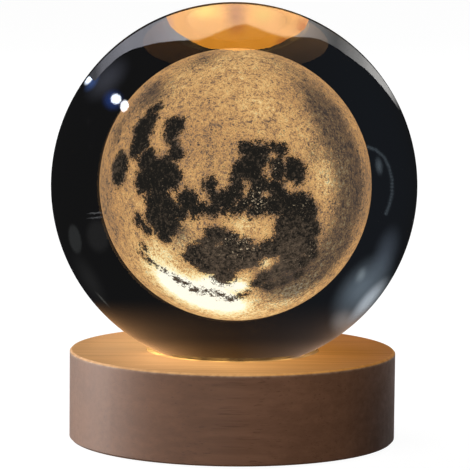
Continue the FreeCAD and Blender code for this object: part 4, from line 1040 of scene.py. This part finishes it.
class MOON_LAMP_OT_power_inlet(PieceOperator, bpy.types.Operator):
    """Finish the inlet's steel shell, its tongue and its gilded contacts"""
    bl_idname = "moon_lamp.power_inlet"
    bl_label = "Power Inlet"

    def execute(self, context):
        metal("usb_socket_shell", "drawn_steel", (0.62, 0.62, 0.63), (12, 1, 12), 0.22)
        plastic("usb_socket_tongue", "tongue_plastic", (0.014, 0.014, 0.015), 0.08 * MM, 0.42)
        metal("usb_contacts", "gold_flash", (0.80, 0.58, 0.24), (12, 1, 12), 0.2)
        return {"FINISHED"}


class MOON_LAMP_OT_push_button(PieceOperator, bpy.types.Operator):
    """Finish the switch, its plunger and spring, and the button"""
    bl_idname = "moon_lamp.push_button"
    bl_label = "Push Button"

    def execute(self, context):
        plastic("switch_body", "switch_case", (0.02, 0.02, 0.021), 0.12 * MM, 0.45)
        plastic("switch_plunger", "plunger_plastic", (0.84, 0.84, 0.80), 0.1 * MM, 0.4)
        metal("switch_spring", "spring_wire", (0.55, 0.55, 0.56), (1, 1, 1), 0.2)
        plastic("button_cap", "button_plastic", (0.020, 0.020, 0.021), 0.16 * MM, 0.36)
        return {"FINISHED"}


class MOON_LAMP_OT_rear_bezel(PieceOperator, bpy.types.Operator):
    """Finish the bezel in the slot at the back"""
    bl_idname = "moon_lamp.rear_bezel"
    bl_label = "Rear Bezel"

    def execute(self, context):
        plastic("rear_bezel", "bezel_plastic", (0.016, 0.016, 0.017), 0.22 * MM, 0.52)
        return {"FINISHED"}


class MOON_LAMP_OT_underside(PieceOperator, bpy.types.Operator):
    """Finish the bottom cover, its screws and the foam pad"""
    bl_idname = "moon_lamp.underside"
    bl_label = "Underside"

    def execute(self, context):
        plastic("bottom_cover", "cover_plastic", (0.018, 0.018, 0.019), 0.3 * MM, 0.55)
        metal("cover_screws", "cover_screw_steel", (0.60, 0.60, 0.58), (1, 1, 12))
        finish_node("anti_slip_pad", foam_material())
        return {"FINISHED"}


def foam_material():
    """Closed-cell foam: small open pits where the sheet was cut, between larger and smaller cells."""
    material, graph = new_material("black_foam_cells")
    spot = graph.spot()
    cells = graph.cells(spot, 0.45 * MM)
    large = graph.cells(spot, 1.4 * MM)
    height = cells.rise(0.0, 0.7) * 0.7 + large.rise(0.0, 0.8) * 0.3
    dust = graph.noise(spot, 6 * MM, 4.0, 0.6).rise(0.4, 0.8)
    # The tone is darker in the pits and paler on the ridges between them: painted shade, with dust paler in
    # patches
    tone = graph.mix(height * 0.6 + dust * 0.25, (0.010, 0.010, 0.011), (0.045, 0.045, 0.046))
    graph.surface(Base_Color=tone, Roughness=0.85, Normal=graph.bump(height, 0.12 * MM))
    return material


class MOON_LAMP_OT_studio(PieceOperator, bpy.types.Operator):
    """Set up the floor, the lamps, the black tent around the glass, its reflectors and the camera"""
    bl_idname = "moon_lamp.studio"
    bl_label = "Studio"

    def execute(self, context):
        settings = context.scene.moon_lamp_studio
        context.scene.view_settings.view_transform = "Standard"
        make_floor()
        make_world(context.scene, settings.sky)
        for name, (place, size) in LAMPS.items():
            make_lamp(name + "_lamp", np.array(place), size, getattr(settings, name))
        make_flag()
        make_tent(settings.tent)
        make_room()
        make_sheet()
        make_card()
        make_camera(context.scene)
        return {"FINISHED"}


def make_floor():
    """A pale floor that shows white to the camera, less the lamp's shadow, and is clear from below."""
    signs = np.array([(-1, -1, 0), (1, -1, 0), (1, 1, 0), (-1, 1, 0)])
    points = FLOOR_REACH * signs - np.array([0.0, 0.0, FLOOR_DROP])
    material, graph = new_material("studio_floor")
    direct = graph.node("ShaderNodeLightPath", output="Is Camera Ray")
    lit = graph.node("ShaderNodeBsdfDiffuse", None, {"Color": (0.80, 0.80, 0.80, 1.0)})
    white = graph.node("ShaderNodeEmission", None, {"Color": (1.0, 1.0, 1.0, 1.0), "Strength": FLOOR_WHITE})
    shown = graph.node("ShaderNodeMixShader", None, {0: direct * 0.8, 1: lit, 2: white})
    below = graph.node("ShaderNodeNewGeometry", output="Backfacing")
    clear = graph.node("ShaderNodeBsdfTransparent")
    graph.finish(graph.node("ShaderNodeMixShader", None, {0: below, 1: shown, 2: clear}))
    floor = new_piece("floor", points, [(0, 1, 2, 3)], material, smooth=False)
    put_on_stage(floor, "camera", "diffuse", "volume_scatter", "shadow")


def make_flag():
    """A low black flag at the lamp's right, unseen by the camera, which keeps light off that side's foot."""
    material, graph = new_material("black_flag")
    graph.finish(graph.node("ShaderNodeBsdfDiffuse", None, {"Color": (0.003, 0.003, 0.003, 1.0)}))
    left, right = FLAG_ENDS
    points = np.array([(*left, 0.0), (*right, 0.0), (*right, FLAG_HEIGHT), (*left, FLAG_HEIGHT)])
    flag = new_piece("black_flag", points, [(0, 1, 2, 3)], material, smooth=False)
    put_on_stage(flag, "diffuse", "volume_scatter", "shadow")


def make_world(scene, strength):
    """White to the camera and through glass, grey in gloss and metal, an even light to everything else."""
    scene.world = bpy.data.worlds.new("studio")
    graph = Graph(scene.world)
    path = graph.node("ShaderNodeLightPath").socket.node
    camera, glossy, through = (Value(graph, path.outputs[name]) for name in (
        "Is Camera Ray", "Is Glossy Ray", "Is Transmission Ray"))
    shown = camera.at_least(glossy * 0.30).at_least(through)
    level = strength + shown * (1 - strength)
    sky = graph.node("ShaderNodeBackground", None, {"Color": (1.0, 1.0, 1.0, 1.0), "Strength": level})
    graph.finish(sky, "ShaderNodeOutputWorld")


def make_lamp(name, place, size, power):
    """A square soft lamp that faces the seat of the ball."""
    lamp = bpy.data.lights.new(name, "AREA")
    lamp.shape = "SQUARE"
    lamp.size = size
    lamp.energy = power
    holder = bpy.data.objects.new(name, lamp)
    aim(holder, place, np.array([0.0, 0.0, BASE_TOP]) - place)
    bpy.context.scene.collection.objects.link(holder)


def aim(holder, place, way):
    """Put an object at a place with its own -Z along a way and its X level."""
    back = -unit(way)
    right = unit(np.cross([0.0, 0.0, 1.0], back))
    stand(holder, place, right, np.cross(back, right), back)


def stand(holder, place, *axes):
    """Put an object at a place with its own axes along three directions."""
    turn = np.eye(4)
    turn[:3, :3] = np.stack(axes, axis=-1)
    turn[:3, 3] = place
    holder.matrix_world = Matrix(turn)


def make_tent(radius):
    """A black tent around the lamp that only the glass sees, as flags round glass in a white studio.

    The cloth is a very dark grey, and bluish on its left, which the ball shows on its right.
    """
    material, graph = new_material("black_tent")
    x, _y, _z = graph.split(graph.spot())
    tone = graph.mix(x.rise(-0.7 * radius, 0.3 * radius), (0.0085, 0.0099, 0.0122), (0.0074, 0.0072, 0.0072))
    graph.light(tone)
    material.cycles.emission_sampling = "NONE"
    directions, faces = globe(30)
    tent = new_piece("black_tent", radius * directions, faces, material)
    put_on_stage(tent, "glossy", "transmission")


def make_camera(scene):
    """The photo's camera."""
    right, up, forward = camera_axes()
    lens = bpy.data.cameras.new("camera")
    lens.sensor_width = SENSOR
    lens.lens = FOCAL_PIXELS / IMAGE_PIXELS * SENSOR
    camera = bpy.data.objects.new("camera", lens)
    stand(camera, CAMERA_PLACE, right, up, -forward)
    scene.collection.objects.link(camera)
    scene.camera = camera


class MOON_LAMP_PT_panel(bpy.types.Panel):
    """Lists the lamp's pieces and their settings"""
    bl_label = "Moon Lamp"
    bl_space_type = "VIEW_3D"
    bl_region_type = "UI"
    bl_category = "Moon Lamp"

    def draw(self, context):
        for operator in OPERATORS:
            self.layout.operator(operator.bl_idname)
        for name in GROUPS:
            settings = getattr(context.scene, name)
            box = self.layout.box()
            for key in settings.bl_rna.properties.keys():
                if key not in ("rna_type", "name"):
                    box.prop(settings, key)


GROUPS = {
    "moon_lamp_ball": BallSettings,
    "moon_lamp_moon": MoonSettings,
    "moon_lamp_wood": WoodSettings,
    "moon_lamp_light": LightSettings,
    "moon_lamp_studio": StudioSettings,
}
OPERATORS = (
    MOON_LAMP_OT_studio, MOON_LAMP_OT_glass_ball, MOON_LAMP_OT_engraved_moon, MOON_LAMP_OT_wooden_base,
    MOON_LAMP_OT_seat_ring, MOON_LAMP_OT_light_engine, MOON_LAMP_OT_control_board, MOON_LAMP_OT_power_inlet,
    MOON_LAMP_OT_push_button, MOON_LAMP_OT_rear_bezel, MOON_LAMP_OT_underside,
)


def register():
    for name, group in GROUPS.items():
        bpy.utils.register_class(group)
        setattr(bpy.types.Scene, name, bpy.props.PointerProperty(type=group))
    for operator in OPERATORS:
        bpy.utils.register_class(operator)
    bpy.utils.register_class(MOON_LAMP_PT_panel)


def unregister():
    bpy.utils.unregister_class(MOON_LAMP_PT_panel)
    for operator in reversed(OPERATORS):
        bpy.utils.unregister_class(operator)
    for name, group in GROUPS.items():
        delattr(bpy.types.Scene, name)
        bpy.utils.unregister_class(group)


def main():
    register()
    for operator in OPERATORS:
        area, name = operator.bl_idname.split(".")
        getattr(getattr(bpy.ops, area), name)()


if __name__ == "__main__":
    main()
